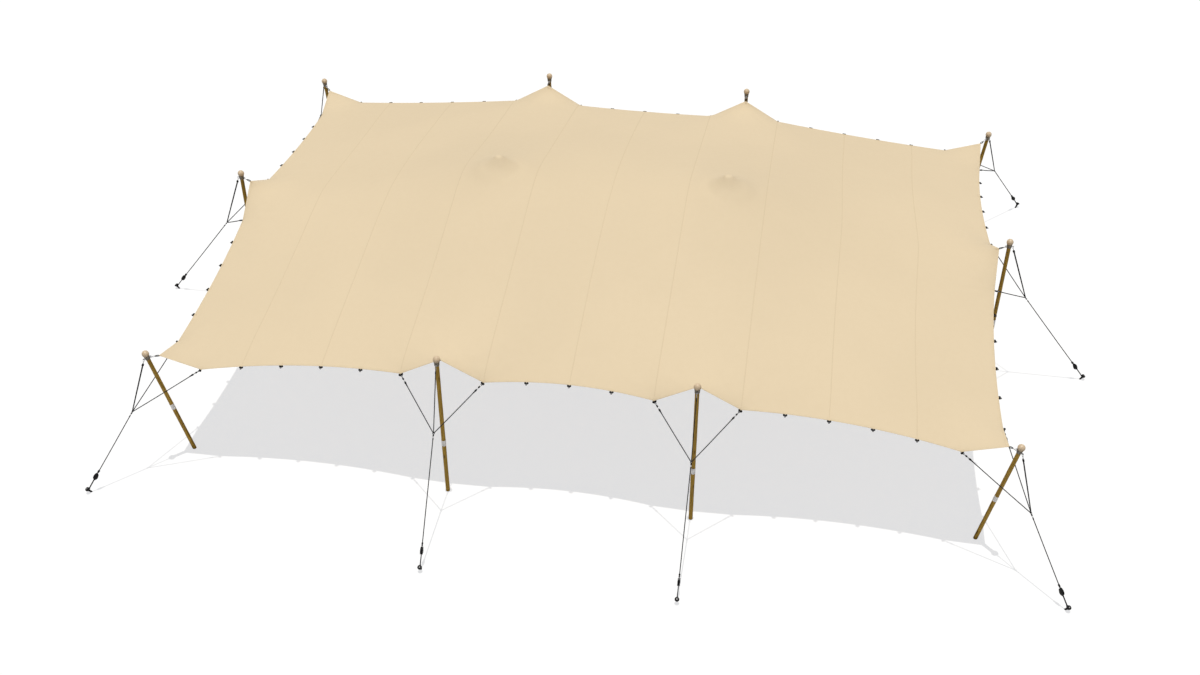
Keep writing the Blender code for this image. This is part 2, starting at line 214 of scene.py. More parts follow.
class Shape:
    # Points and faces gathered from several pieces, with a local place for patterns.
    def __init__(self):
        self.points = []
        self.faces = []
        self.local = []
        self.seed = []
        self.count = 0

    def add(self, points, faces, local=None, seed=0.0):
        points = np.asarray(points, float)
        self.points.append(points)
        self.local.append(points if local is None else np.asarray(local, float))
        self.seed.append(np.full(len(points), seed))
        self.faces += [tuple(int(corner) + self.count for corner in face) for face in faces]
        self.count += len(points)

    def mesh(self, name):
        mesh = bpy.data.meshes.new(name)
        mesh.from_pydata(np.concatenate(self.points).tolist(), [], self.faces)
        place = mesh.attributes.new("localPlace", "FLOAT_VECTOR", "POINT")
        place.data.foreach_set("vector", np.concatenate(self.local).astype(np.float32).ravel())
        seeds = mesh.attributes.new("copySeed", "FLOAT", "POINT")
        seeds.data.foreach_set("value", np.concatenate(self.seed).astype(np.float32))
        mesh.update()
        return mesh


def frameOf(place, along, across=None):
    # A matrix whose Z runs along the direction and whose X lies across it, level if nothing else is asked.
    z = along.normalized()
    x = Vector(across) if across is not None else z.cross(up)
    if x.length < 1e-6:
        x = Vector((1.0, 0.0, 0.0))
    x = (x - z * x.dot(z)).normalized()
    y = z.cross(x)
    matrix = Matrix((x, y, z)).transposed().to_4x4()
    matrix.translation = place
    return matrix


def moved(matrix, points):
    return np.asarray(points) @ np.array(matrix.to_3x3()).T + np.array(matrix.translation)


def turnedRings(profile, sides):
    # A lathe shape about Z from (radius, height) pairs. A radius of 0 closes an end.
    points, faces, rings = [], [], []
    turn = np.arange(sides) * 2 * math.pi / sides
    for radius, height in profile:
        if radius <= 0:
            rings.append([len(points)])
            points.append((0.0, 0.0, height))
        else:
            rings.append(list(range(len(points), len(points) + sides)))
            points += [(radius * math.cos(t), radius * math.sin(t), height) for t in turn]
    for low, high in zip(rings, rings[1:]):
        for k in range(sides):
            a, b = low[k % len(low)], low[(k + 1) % len(low)]
            c, d = high[(k + 1) % len(high)], high[k % len(high)]
            if len(low) == 1:
                faces.append((a, c, d))
            elif len(high) == 1:
                faces.append((a, b, c))
            else:
                faces.append((a, b, c, d))
    return np.array(points), faces


def tubeAlong(path, radius, sides, closed=False, flat=1.0):
    # A round or flattened tube along points, with a frame carried from one point to the next.
    path = [Vector(point) for point in path]
    count = len(path)
    points, faces = [], []
    across = None
    for k, point in enumerate(path):
        if closed:
            tangent = path[(k + 1) % count] - path[k - 1]
        else:
            tangent = path[min(k + 1, count - 1)] - path[max(k - 1, 0)]
        tangent.normalize()
        if across is None:
            across = tangent.cross(up)
            if across.length < 1e-3:
                across = tangent.cross(Vector((0.0, 1.0, 0.0)))
        across = (across - tangent * across.dot(tangent)).normalized()
        other = tangent.cross(across)
        size = radius[k] if hasattr(radius, "__len__") else radius
        for s in range(sides):
            turn = 2 * math.pi * s / sides
            points.append(tuple(point + across * (size * math.cos(turn)) + other * (size * flat * math.sin(turn))))
    for k in range(count if closed else count - 1):
        for s in range(sides):
            a = k * sides + s
            b = k * sides + (s + 1) % sides
            c = ((k + 1) % count) * sides + (s + 1) % sides
            d = ((k + 1) % count) * sides + s
            faces.append((a, b, c, d))
    if not closed:
        faces.append(tuple(reversed(range(sides))))
        faces.append(tuple(range((count - 1) * sides, count * sides)))
    return np.array(points), faces


def block(size, centre=(0, 0, 0), bevel=0.0, segments=2):
    # A box with rounded edges.
    work = bmesh.new()
    bmesh.ops.create_cube(work, size=1.0)
    for vertex in work.verts:
        vertex.co = Vector([vertex.co[k] * size[k] + centre[k] for k in range(3)])
    if bevel:
        bmesh.ops.bevel(work, geom=work.edges[:], offset=bevel, segments=segments, affect="EDGES", profile=0.5)
    work.verts.index_update()
    points = [tuple(vertex.co) for vertex in work.verts]
    faces = [tuple(vertex.index for vertex in face.verts) for face in work.faces]
    work.free()
    return np.array(points), faces


def arc(centre, radius, start, end, steps, first=(1, 0, 0), second=(0, 0, 1)):
    centre, first, second = Vector(centre), Vector(first), Vector(second)
    turns = [math.radians(start + (end - start) * k / steps) for k in range(steps + 1)]
    return [centre + first * (radius * math.cos(t)) + second * (radius * math.sin(t)) for t in turns]


def pieceFrom(name, mesh, material, smooth=True, nodes=()):
    work = bmesh.new()
    work.from_mesh(mesh)
    bmesh.ops.recalc_face_normals(work, faces=work.faces)
    work.to_mesh(mesh)
    work.free()
    obj = bpy.data.objects.new(name, mesh)
    bpy.context.scene.collection.objects.link(obj)
    mesh.materials.clear()
    mesh.materials.append(material)
    for face in mesh.polygons:
        face.use_smooth = smooth
    if smooth:
        mesh.set_sharp_from_angle(angle=math.radians(38))
    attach(obj, "root")
    if nodes:
        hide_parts(*nodes)
    return obj


# ---- geometry node trees

def newTree(name, sockets):
    tree = bpy.data.node_groups.new(name, "GeometryNodeTree")
    tree.interface.new_socket("Geometry", in_out="INPUT", socket_type="NodeSocketGeometry")
    names = {}
    for label, kind in sockets:
        names[label] = tree.interface.new_socket(label, in_out="INPUT", socket_type=kind).identifier
    tree.interface.new_socket("Geometry", in_out="OUTPUT", socket_type="NodeSocketGeometry")
    board = Board(tree)
    entry = tree.nodes.new("NodeGroupInput")
    inputs = {socket.name: Wire(tree, socket) for socket in entry.outputs if socket.name}
    return board, inputs, names


def closeTree(board, geometry, material):
    real = board.add("GeometryNodeRealizeInstances", None, {0: geometry})
    dressed = board.add("GeometryNodeSetMaterial", None, {"Geometry": real, "Material": material})
    end = board.tree.nodes.new("NodeGroupOutput")
    board.tree.links.new(dressed.socket, end.inputs[0])


def grown(source, board, names, values):
    # Runs a tree on a helper object and gives back the plain mesh.
    modifier = source.modifiers.new("grow", "NODES")
    modifier.node_group = board.tree
    for label, value in values.items():
        modifier[names[label]] = value
    bpy.context.view_layer.update()
    graph = bpy.context.evaluated_depsgraph_get()
    mesh = bpy.data.meshes.new_from_object(source.evaluated_get(graph), depsgraph=graph)
    data = source.data
    bpy.data.objects.remove(source, do_unlink=True)
    if isinstance(data, bpy.types.Mesh):
        bpy.data.meshes.remove(data)
    else:
        bpy.data.curves.remove(data)
    return mesh


def helperObject(name, data):
    obj = bpy.data.objects.new(name, data)
    bpy.context.scene.collection.objects.link(obj)
    return obj


def buildCopyTree():
    # Copies of one fitting on every point, turned by the point's two axes.
    board, inputs, names = newTree("fittingCopies", [("Fitting", "NodeSocketObject"), ("Material", "NodeSocketMaterial")])
    along = board.add("GeometryNodeInputNamedAttribute", {"data_type": "FLOAT_VECTOR"}, {"Name": "axisAlong"})
    across = board.add("GeometryNodeInputNamedAttribute", {"data_type": "FLOAT_VECTOR"}, {"Name": "axisAcross"})
    turn = board.add("FunctionNodeAxesToRotation", {"primary_axis": "Z", "secondary_axis": "X"},
                     {"Primary Axis": along, "Secondary Axis": across})
    fitting = board.add("GeometryNodeObjectInfo", {"transform_space": "ORIGINAL"},
                        {"Object": inputs["Fitting"], "As Instance": True}, "Geometry")
    copies = board.add("GeometryNodeInstanceOnPoints", None,
                       {"Points": inputs["Geometry"], "Instance": fitting, "Rotation": turn})
    number = board.add("GeometryNodeInputIndex")
    chance = board.add("FunctionNodeRandomValue", {"data_type": "FLOAT"}, {"ID": number, "Seed": 7}, 1)
    seeded = board.add("GeometryNodeStoreNamedAttribute", {"data_type": "FLOAT", "domain": "INSTANCE"},
                       {"Geometry": copies, "Name": "copySeed", "Value": chance})
    closeTree(board, seeded, inputs["Material"])
    return board, names


def buildRopeTree():
    # Laid rope: a three lobed section that turns along the path.
    board, inputs, names = newTree("laidRope", [("Radius", "NodeSocketFloat"), ("Lay", "NodeSocketFloat"),
                                                ("Step", "NodeSocketFloat"), ("Material", "NodeSocketMaterial")])
    path = board.add("GeometryNodeResampleCurve", {"mode": "LENGTH"},
                     {"Curve": inputs["Geometry"], "Length": inputs["Step"]})
    reach = board.add("GeometryNodeSplineParameter", output="Length")
    twisted = board.add("GeometryNodeSetCurveTilt", None, {"Curve": path, "Tilt": reach * 6.2832 / inputs["Lay"]})
    circle = board.add("GeometryNodeCurvePrimitiveCircle", {"mode": "RADIUS"},
                       {"Resolution": 9, "Radius": inputs["Radius"]})
    spot = board.add("GeometryNodeInputPosition")
    xPart = board.add("ShaderNodeSeparateXYZ", None, {0: spot}, 0)
    yPart = board.add("ShaderNodeSeparateXYZ", None, {0: spot}, 1)
    angle = xPart.maths("ARCTAN2", yPart, xPart)
    lobes = (angle * 3.0).maths("COSINE", angle * 3.0)
    scale = lobes * 0.09 + 0.94
    lobed = board.add("ShaderNodeVectorMath", {"operation": "SCALE"}, {0: spot, "Scale": scale})
    section = board.add("GeometryNodeSetPosition", None, {"Geometry": circle, "Position": lobed})
    tube = board.add("GeometryNodeCurveToMesh", None, {"Curve": twisted, "Profile Curve": section, "Fill Caps": True})
    closeTree(board, tube, inputs["Material"])
    return board, names


def buildTapeTree():
    # Flat tape along a path, with rounded edges.
    board, inputs, names = newTree("flatTape", [("Width", "NodeSocketFloat"), ("Thickness", "NodeSocketFloat"),
                                                ("Round", "NodeSocketFloat"), ("Material", "NodeSocketMaterial")])
    outline = board.add("GeometryNodeCurvePrimitiveQuadrilateral", {"mode": "RECTANGLE"},
                        {"Width": inputs["Width"], "Height": inputs["Thickness"]})
    section = board.add("GeometryNodeFilletCurve", {"mode": "POLY"},
                        {"Curve": outline, "Count": 2, "Radius": inputs["Round"]})
    length = board.add("GeometryNodeSplineParameter", output="Length")
    marked = board.add("GeometryNodeStoreNamedAttribute", {"data_type": "FLOAT", "domain": "POINT"},
                       {"Geometry": inputs["Geometry"], "Name": "tapeLength", "Value": length})
    tube = board.add("GeometryNodeCurveToMesh", None, {"Curve": marked, "Profile Curve": section, "Fill Caps": True})
    closeTree(board, tube, inputs["Material"])
    return board, names


def pathCurve(name, paths, tilts=None, mode="Z_UP"):
    curve = bpy.data.curves.new(name, "CURVE")
    curve.dimensions = "3D"
    curve.twist_mode = mode
    for number, path in enumerate(paths):
        spline = curve.splines.new("POLY")
        spline.points.add(len(path) - 1)
        for k, point in enumerate(path):
            spline.points[k].co = (*point, 1.0)
            if tilts is not None:
                spline.points[k].tilt = tilts[number][k]
    return helperObject(name, curve)


def copiesOf(name, shape, places, material, nodes=()):
    # places holds (point, along, across) for each copy.
    fitting = helperObject(name + "Pattern", shape.mesh(name + "Pattern"))
    points = bpy.data.meshes.new(name + "Points")
    points.from_pydata([tuple(place[0]) for place in places], [], [])
    for label, index in (("axisAlong", 1), ("axisAcross", 2)):
        values = np.array([tuple(place[index]) for place in places], np.float32)
        points.attributes.new(label, "FLOAT_VECTOR", "POINT").data.foreach_set("vector", values.ravel())
    board, names = copyTree
    mesh = grown(helperObject(name + "Points", points), board, names, {"Fitting": fitting, "Material": material})
    data = fitting.data
    bpy.data.objects.remove(fitting, do_unlink=True)
    bpy.data.meshes.remove(data)
    return pieceFrom(name, mesh, material, nodes=nodes)


def ropeAlong(name, paths, radius, lay, material, step=0.006, nodes=()):
    board, names = ropeTree
    source = pathCurve(name + "Path", paths, mode="MINIMUM")
    mesh = grown(source, board, names, {"Radius": radius, "Lay": lay, "Step": step, "Material": material})
    return pieceFrom(name, mesh, material, nodes=nodes)


def tapeAlong(name, paths, width, thickness, material, tilts=None, nodes=()):
    board, names = tapeTree
    source = pathCurve(name + "Path", paths, tilts)
    values = {"Width": width, "Thickness": thickness, "Round": thickness * 0.45, "Material": material}
    mesh = grown(source, board, names, values)
    return pieceFrom(name, mesh, material, nodes=nodes)


# ---- what a user would change

canopyLook = {
    "stepsPerTab": 12, "peak": (2.25, 0.0, 4.10), "capRadius": 0.06, "capDrop": 0.010, "peakPull": 0.60, "fullness": 0.03,
    "middleBow": (0.0, -0.125, 0.047), "longBow": (0.0, -0.123, 0.039), "sideBow": (-0.077, 0.0, 0.029),
    "crestBend": 0.80, "crestReach": 0.34, "crestBlend": (0.36, 0.56),
    "thickness": 0.0025, "wrinkle": 0.0045, "wrinkleReach": 0.42, "ripple": 0.0025, "flat": (15.0, 10.0),
    "seamWidth": 0.020, "seamThickness": 0.0050, "hemWidth": 0.050, "hemThickness": 0.0050,
}
poleLook = {"radius": 0.0375, "sleeveRadius": 0.0415, "sleeveLength": 0.130, "sides": 40, "ring": 0.05}
headLook = {"ballRadius": 0.065, "height": 0.125, "collarTop": 0.050, "lugDrop": 0.090}
ropeLook = {"radius": 0.0092, "strapRadius": 0.0078, "strapSpread": 0.0070, "lay": 0.075}
tensionerLook = {"length": 0.145, "height": 0.074, "width": 0.047, "tail": 0.017}
stakeLook = {"lean": 30.0, "shaft": 0.018, "head": 0.041, "thick": 0.036, "grip": 0.033}
centreLook = {"radius": 0.075, "height": 0.045, "joint": 1.55}


# ---- camera, floor and light

studioLook = {"sun": 3.14, "sunAngle": 0.55, "sky": 0.20, "floorGlow": (0.685, 0.69, 0.705), "floorTone": (0.29, 0.285, 0.27),
              "bounceTone": (0.64, 0.64, 0.64)}


def aimCamera():
    camera = bpy.data.cameras.new("photoCamera")
    camera.lens = 42.2
    camera.sensor_width = 36.0
    camera.clip_end = 300.0
    yaw, pitch = math.radians(-9.238), math.radians(-38.557)
    forward = Vector((math.sin(yaw) * math.cos(pitch), math.cos(yaw) * math.cos(pitch), math.sin(pitch)))
    obj = helperObject("photoCamera", camera)
    obj.location = (3.5136, -23.1023, 18.4703)
    obj.rotation_euler = forward.to_track_quat("-Z", "Y").to_euler()
    bpy.context.scene.camera = obj


def lightStudio():
    bpy.context.scene.view_settings.view_transform = "Standard"
    world = bpy.data.worlds.new("studio")
    world.use_nodes = True
    sky = Board(world.node_tree)
    seen = sky.add("ShaderNodeLightPath")   # the camera sees a white wall, brighter than the light it gives
    backdrop = world.node_tree.nodes["Background"]
    backdrop.inputs["Color"].default_value = rgb(1.0, 1.0, 1.0)
    feed(world.node_tree, backdrop.inputs["Strength"], seen * (1.0 - studioLook["sky"]) + studioLook["sky"])
    bpy.context.scene.world = world
    sun = bpy.data.lights.new("overheadLight", "SUN")
    sun.energy = studioLook["sun"]
    sun.angle = math.radians(studioLook["sunAngle"])
    helperObject("overheadLight", sun)


def layFloor():
    # The camera sees the first floor, and the second one below it gives the light that comes up from the ground.
    reach = 160.0
    for name, tone, glow, rise in (("paleFloor", studioLook["floorTone"], studioLook["floorGlow"], -0.0005),
                                   ("bounceFloor", studioLook["bounceTone"], None, -0.0020)):
        finish = Finish(name, Roughness=0.9)
        finish.shader.inputs["Base Color"].default_value = rgb(*tone)
        finish.shader.inputs["Specular IOR Level"].default_value = 0.0
        if glow is not None:
            finish.shader.inputs["Emission Color"].default_value = rgb(*glow)
            finish.shader.inputs["Emission Strength"].default_value = 1.0
        mesh = bpy.data.meshes.new(name)
        mesh.from_pydata([(-reach, -reach, 0), (reach, -reach, 0), (reach, reach, 0), (-reach, reach, 0)], [], [(0, 1, 2, 3)])
        mesh.materials.append(finish.material)
        floor = helperObject(name, mesh)
        floor.location.z = rise
        seen = glow is not None
        floor.visible_camera = seen
        floor.visible_diffuse = not seen
        floor.visible_glossy = not seen
        floor.visible_shadow = False
        floor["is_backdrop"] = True


print("camera and light")
aimCamera()
lightStudio()
layFloor()


# ---- finishes

def stretchCloth(name, tone):
    finish = Finish(name, **{"Sheen Weight": 0.08, "Sheen Roughness": 0.6, "Specular IOR Level": 0.25})
    place = finish.place()
    broad = finish.noise(place, 0.35, 3.0, 0.5)
    fine = finish.noise(place, 9.0, 4.0, 0.6)
    base = finish.mixed(finish.between(broad, 0.35, 0.65), rgb(*[c * 0.985 for c in tone]), rgb(*[c * 1.01 for c in tone]))
    dust = finish.between(fine, 0.35, 0.75)
    colour = finish.mixed(dust * 0.05, base, rgb(tone[0] * 0.86, tone[1] * 0.84, tone[2] * 0.82))
    xPart, yPart, _ = finish.parts(place)
    ribs = (xPart * 2094.0).maths("SINE", xPart * 2094.0)
    rows = (yPart * 1571.0).maths("SINE", yPart * 1571.0)
    height = ribs * 0.3 + rows * 0.2 + fine * 1.2
    return finish.wear(colour, finish.between(fine, 0.3, 0.7, 0.72, 0.84), None, height, 0.12, 0.0006)


def seamCloth():
    finish = Finish("seamCloth", **{"Specular IOR Level": 0.2})
    place = finish.place()
    fine = finish.noise(place, 30.0, 3.0)
    length = finish.amount("tapeLength")
    stitch = (length * 785.0).maths("SINE", length * 785.0)
    colour = finish.mixed(finish.between(fine, 0.3, 0.7), rgb(0.652, 0.528, 0.351), rgb(0.675, 0.547, 0.365))
    threaded = finish.mixed(finish.between(stitch, 0.3, 0.8) * 0.28, colour, rgb(0.52, 0.415, 0.272))
    return finish.wear(threaded, 0.8, None, stitch * 0.6 + fine, 0.3, 0.0008)


def hemCloth():
    finish = Finish("hemCloth", **{"Specular IOR Level": 0.2})
    place = finish.place()
    fine = finish.noise(place, 24.0, 4.0)
    weave = finish.add("ShaderNodeTexWave", {"bands_direction": "DIAGONAL"}, {"Vector": place, "Scale": 90.0, "Distortion": 0.6})
    colour = finish.mixed(finish.between(fine, 0.3, 0.7), rgb(0.662, 0.537, 0.357), rgb(0.695, 0.565, 0.378))
    return finish.wear(colour, 0.8, None, weave * 0.5 + fine, 0.2, 0.0006)


def oiledTimber():
    finish = Finish("oiledTimber", **{"Specular IOR Level": 0.14})
    place = finish.place("localPlace")
    seed = finish.amount("copySeed")
    offset = finish.add("ShaderNodeCombineXYZ", None, {0: seed * 3.1, 1: seed * 5.7, 2: seed * 11.3})
    own = finish.shifted(place, offset)
    grain = finish.noise(finish.stretched(own, (95.0, 95.0, 2.2)), 1.0, 6.0, 0.62)
    pores = finish.noise(finish.stretched(own, (420.0, 420.0, 9.0)), 1.0, 3.0, 0.5)
    broad = finish.noise(finish.stretched(own, (9.0, 9.0, 0.9)), 1.0, 3.0, 0.5)
    knots = finish.add("ShaderNodeTexVoronoi", {"feature": "F1"},
                       {"Vector": finish.stretched(own, (9.0, 9.0, 2.6)), "Scale": 1.0, "Randomness": 1.0}, "Distance")
    knot = finish.between(knots, 0.03, 0.20, 1.0, 0.0)
    colour = finish.add("ShaderNodeValToRGB", {"stops": [
        (0.30, rgb(0.220, 0.128, 0.020)), (0.47, rgb(0.420, 0.250, 0.036)),
        (0.58, rgb(0.520, 0.315, 0.048)), (0.75, rgb(0.610, 0.380, 0.066))]}, {0: grain})
    colour = finish.mixed(finish.between(broad, 0.35, 0.65) * 0.30, colour, rgb(0.29, 0.168, 0.026))
    colour = finish.mixed(finish.between(pores, 0.55, 0.75) * 0.35, colour, rgb(0.07, 0.04, 0.01))
    colour = finish.mixed(knot * 0.75, colour, rgb(0.055, 0.030, 0.010))
    rough = finish.between(grain, 0.3, 0.7, 0.50, 0.66)
    return finish.wear(colour, rough, None, grain * 1.0 + pores * 0.5 - knot * 0.5, 0.35, 0.0012)


def paleSleeve():
    finish = Finish("paleSleeve", **{"Specular IOR Level": 0.45})
    place = finish.place("localPlace")
    scuffs = finish.noise(finish.stretched(place, (60.0, 60.0, 12.0)), 1.0, 5.0, 0.65)
    colour = finish.mixed(finish.between(scuffs, 0.52, 0.72), rgb(0.90, 0.88, 0.86), rgb(0.72, 0.70, 0.67))
    return finish.wear(colour, finish.between(scuffs, 0.3, 0.7, 0.38, 0.55), None, scuffs, 0.1, 0.0005)


def turnedBall():
    finish = Finish("turnedBall", **{"Specular IOR Level": 0.4})
    place = finish.place("localPlace")
    _, _, height = finish.parts(place)
    seed = finish.amount("copySeed")
    offset = finish.add("ShaderNodeCombineXYZ", None, {0: seed * 0.9, 1: seed * 0.4, 2: seed * 0.7})
    own = finish.shifted(place, offset)
    rings = finish.add("ShaderNodeTexWave", {"wave_type": "RINGS", "rings_direction": "X"}, {
        "Vector": finish.stretched(own, (7.0, 34.0, 34.0)), "Scale": 1.3, "Distortion": 2.2, "Detail": 3.0}, "Fac")
    fibre = finish.noise(finish.stretched(own, (22.0, 330.0, 330.0)), 1.0, 4.0, 0.6)
    grain = rings * 0.55 + fibre * 0.45
    colour = finish.mixed(finish.between(grain, 0.25, 0.75), rgb(0.66, 0.515, 0.35), rgb(0.555, 0.415, 0.265))
    # Painted shade: the colour grows darker towards the bottom of the head, standing in for the shade under it.
    low = finish.between(height, -0.060, 0.012, 1.0, 0.0)
    colour = finish.mixed(low * 0.62, colour, rgb(0.15, 0.11, 0.07))
    return finish.wear(colour, finish.between(grain, 0.3, 0.7, 0.42, 0.58), None, fibre, 0.15, 0.0006)


def spunMetal():
    finish = Finish("spunMetal", **{"Metallic": 0.55})
    place = finish.place("localPlace")
    _, _, height = finish.parts(place)
    streaks = finish.noise(finish.stretched(place, (30.0, 30.0, 900.0)), 1.0, 3.0, 0.5)
    stains = finish.noise(place, 26.0, 5.0, 0.6)
    colour = finish.mixed(finish.between(stains, 0.45, 0.7), rgb(0.230, 0.205, 0.165), rgb(0.125, 0.108, 0.080))
    return finish.wear(colour, finish.between(streaks, 0.3, 0.7, 0.40, 0.58), None, streaks, 0.12, 0.0004)


def galvanised():
    finish = Finish("galvanised", **{"Metallic": 0.75})
    place = finish.place()
    spangle = finish.add("ShaderNodeTexVoronoi", {"feature": "F1"}, {"Vector": place, "Scale": 220.0}, "Distance")
    dull = finish.noise(place, 45.0, 4.0, 0.6)
    colour = finish.mixed(finish.between(spangle, 0.1, 0.7), rgb(0.66, 0.66, 0.67), rgb(0.48, 0.48, 0.49))
    return finish.wear(colour, finish.between(dull, 0.3, 0.7, 0.32, 0.52), None, dull, 0.1, 0.0004)


def darkRope():
    finish = Finish("darkRope", **{"Specular IOR Level": 0.12})
    place = finish.place()
    fluff = finish.noise(place, 260.0, 3.0, 0.6)
    broad = finish.noise(place, 3.0, 2.0)
    colour = finish.mixed(finish.between(fluff, 0.35, 0.7), rgb(0.018, 0.018, 0.020), rgb(0.046, 0.046, 0.049))
    colour = finish.mixed(finish.between(broad, 0.4, 0.7) * 0.4, colour, rgb(0.056, 0.054, 0.052))
    return finish.wear(colour, finish.between(fluff, 0.3, 0.7, 0.7, 0.88), None, fluff, 0.5, 0.0008)


def darkWebbing():
    finish = Finish("darkWebbing", **{"Specular IOR Level": 0.12})
    place = finish.place()
    length = finish.amount("tapeLength")
    ribs = (length * 2500.0).maths("SINE", length * 2500.0)
    fuzz = finish.noise(place, 180.0, 3.0, 0.6)
    colour = finish.mixed(finish.between(fuzz, 0.35, 0.7), rgb(0.012, 0.012, 0.014), rgb(0.028, 0.028, 0.031))
    return finish.wear(colour, 0.8, None, ribs * 0.5 + fuzz, 0.4, 0.0006)


def blackFitting(name, tone=0.007, rough=0.50):
    finish = Finish(name, **{"Specular IOR Level": 0.18})
    place = finish.place()
    scuffs = finish.noise(place, 90.0, 5.0, 0.65)
    colour = finish.mixed(finish.between(scuffs, 0.55, 0.78), rgb(tone, tone, tone * 1.05), rgb(tone * 3.2, tone * 3.1, tone * 3.0))
    return finish.wear(colour, finish.between(scuffs, 0.3, 0.75, rough, rough + 0.22), None, scuffs, 0.12, 0.0004)


def wornSteel():
    finish = Finish("wornSteel", **{"Specular IOR Level": 0.2})
    place = finish.place("localPlace")
    xPart, yPart, height = finish.parts(place)
    reach = (xPart * xPart + yPart * yPart) ** 0.5
    scars = finish.noise(place, 120.0, 5.0, 0.65)
    top = finish.between(height, 0.0125, 0.0150) * finish.between(reach, 0.0140, 0.0105)
    worn = top * finish.between(scars, 0.25, 0.50)
    colour = finish.mixed(worn, rgb(0.008, 0.008, 0.009), rgb(0.38, 0.37, 0.36))
    rust = finish.between(scars, 0.62, 0.78) * 0.30
    colour = finish.mixed(rust, colour, rgb(0.055, 0.028, 0.014))
    return finish.wear(colour, finish.between(scars, 0.3, 0.7, 0.48, 0.70), worn * 0.7, scars, 0.3, 0.0008)


print("finishes")
clothTone = (0.691, 0.561, 0.375)
canopyFinish = stretchCloth("stretchCloth", clothTone)
seamFinish = seamCloth()
hemFinish = hemCloth()
timberFinish = oiledTimber()
sleeveFinish = paleSleeve()
ballFinish = turnedBall()
collarFinish = spunMetal()
linkFinish = galvanised()
ropeFinish = darkRope()
webbingFinish = darkWebbing()
clipFinish = blackFitting("blackClip")
ratchetFinish = blackFitting("blackRatchet", 0.0070, 0.42)
stakeFinish = wornSteel()

copyTree = buildCopyTree()
ropeTree = buildRopeTree()
tapeTree = buildTapeTree()
posts = postList()


# ---- canopy

def bowed(first, second, count, bow):
    share = np.arange(count)[:, None] / count
    first, second, bow = (np.array(point, float) for point in (first, second, bow))
    return first + (second - first) * share + bow * (4 * share * (1 - share))


def quarterEdges(step):
    look = canopyLook
    corner = tentPlan["corner"]
    inner, outer = tentPlan["long"]["kinks"]
    sideKink = tentPlan["side"]["kinks"][0]
    still = (0.0, 0.0, 0.0)
    longEdge = np.concatenate([
        bowed((-inner[0], inner[1], inner[2]), inner, 4 * step, look["middleBow"])[2 * step:],
        bowed(inner, tentPlan["long"]["tip"], step, still),
        bowed(tentPlan["long"]["tip"], outer, step, still),
        bowed(outer, corner["kinks"][0], 5 * step, look["longBow"]),
        bowed(corner["kinks"][0], corner["tip"], step, still),
        [corner["tip"]]])
    sideEdge = np.concatenate([
        bowed(tentPlan["side"]["tip"], sideKink, step, still),
        bowed(sideKink, corner["kinks"][1], 5 * step, look["sideBow"]),
        bowed(corner["kinks"][1], corner["tip"], step, still),
        [corner["tip"]]])
    return longEdge, sideEdge


def quarterMembrane(step):
    # A stretched membrane with a slight fullness, held at its edge and over the pole head, by over-relaxation.
    look = canopyLook
    longEdge, sideEdge = quarterEdges(step)
    columns, rows = len(longEdge), len(sideEdge)
    cornerX, cornerY, _ = tentPlan["corner"]["tip"]
    share = np.arange(columns) / (columns - 1)
    x = longEdge[:, 0][:, None] + (sideEdge[:, 0] - cornerX)[None, :] * (share ** 3)[:, None]
    y = longEdge[:, 1][:, None] * (sideEdge[:, 1] / cornerY)[None, :]
    x[-1], y[-1] = sideEdge[:, 0], sideEdge[:, 1]
    across = np.arange(rows)[None, :] / (rows - 1)
    z = 3.2 - 0.5 * share[:, None] - 0.3 * across
    z[-1] = sideEdge[:, 2]
    z[:, -1] = longEdge[:, 2]
    peakX, peakY, peakZ = look["peak"]
    reach = np.hypot(x - peakX, y - peakY)
    capped = reach <= look["capRadius"]
    z[capped] = peakZ - look["capDrop"] * (reach[capped] / look["capRadius"]) ** 2
    free = ~capped
    free[-1] = False
    free[:, -1] = False
    along = np.hypot(np.diff(x, axis=0), np.diff(y, axis=0))
    aside = np.hypot(np.diff(x, axis=1), np.diff(y, axis=1))
    width = np.vstack([along[:1], (along[1:] + along[:-1]) / 2, along[-1:]])
    depth = np.hstack([aside[:, :1], (aside[:, 1:] + aside[:, :-1]) / 2, aside[:, -1:]])
    tighter = [1 + look["peakPull"] / np.hypot(middleX - peakX, middleY - peakY) for middleX, middleY in (
        ((x[1:] + x[:-1]) / 2, (y[1:] + y[:-1]) / 2), ((x[:, 1:] + x[:, :-1]) / 2, (y[:, 1:] + y[:, :-1]) / 2))]
    pullX = (depth[1:] + depth[:-1]) / (2 * along) * tighter[0]
    pullY = (width[:, 1:] + width[:, :-1]) / (2 * aside) * tighter[1]
    # A step over a symmetry plane lands on the mirrored neighbour.
    left = np.vstack([pullX[:1], pullX])
    right = np.vstack([pullX, pullX[-1:]])
    below = np.hstack([pullY[:, :1], pullY])
    above = np.hstack([pullY, pullY[:, -1:]])
    total = left + right + below + above
    load = look["fullness"] * width * depth
    parity = np.add.outer(np.arange(columns), np.arange(rows)) % 2
    for _ in range(1500):
        for colour in (0, 1):
            near = (left * np.vstack([z[1:2], z[:-1]]) + right * np.vstack([z[1:], z[-2:-1]])
                    + below * np.hstack([z[:, 1:2], z[:, :-1]]) + above * np.hstack([z[:, 1:], z[:, -2:-1]]))
            chosen = free & (parity == colour)
            z[chosen] += 1.93 * ((near + load) / total - z)[chosen]
    return np.stack((x, y, z), axis=-1)


def wholeGrid(quarter):
    left = quarter[:0:-1] * np.array((-1, 1, 1))
    half = np.concatenate([left, quarter])
    front = half[:, :0:-1] * np.array((1, -1, 1))
    return np.concatenate([front, half], axis=1)


def gridNormals(grid):
    normals = np.cross(np.gradient(grid, axis=0), np.gradient(grid, axis=1))
    return normals / np.linalg.norm(normals, axis=-1, keepdims=True)


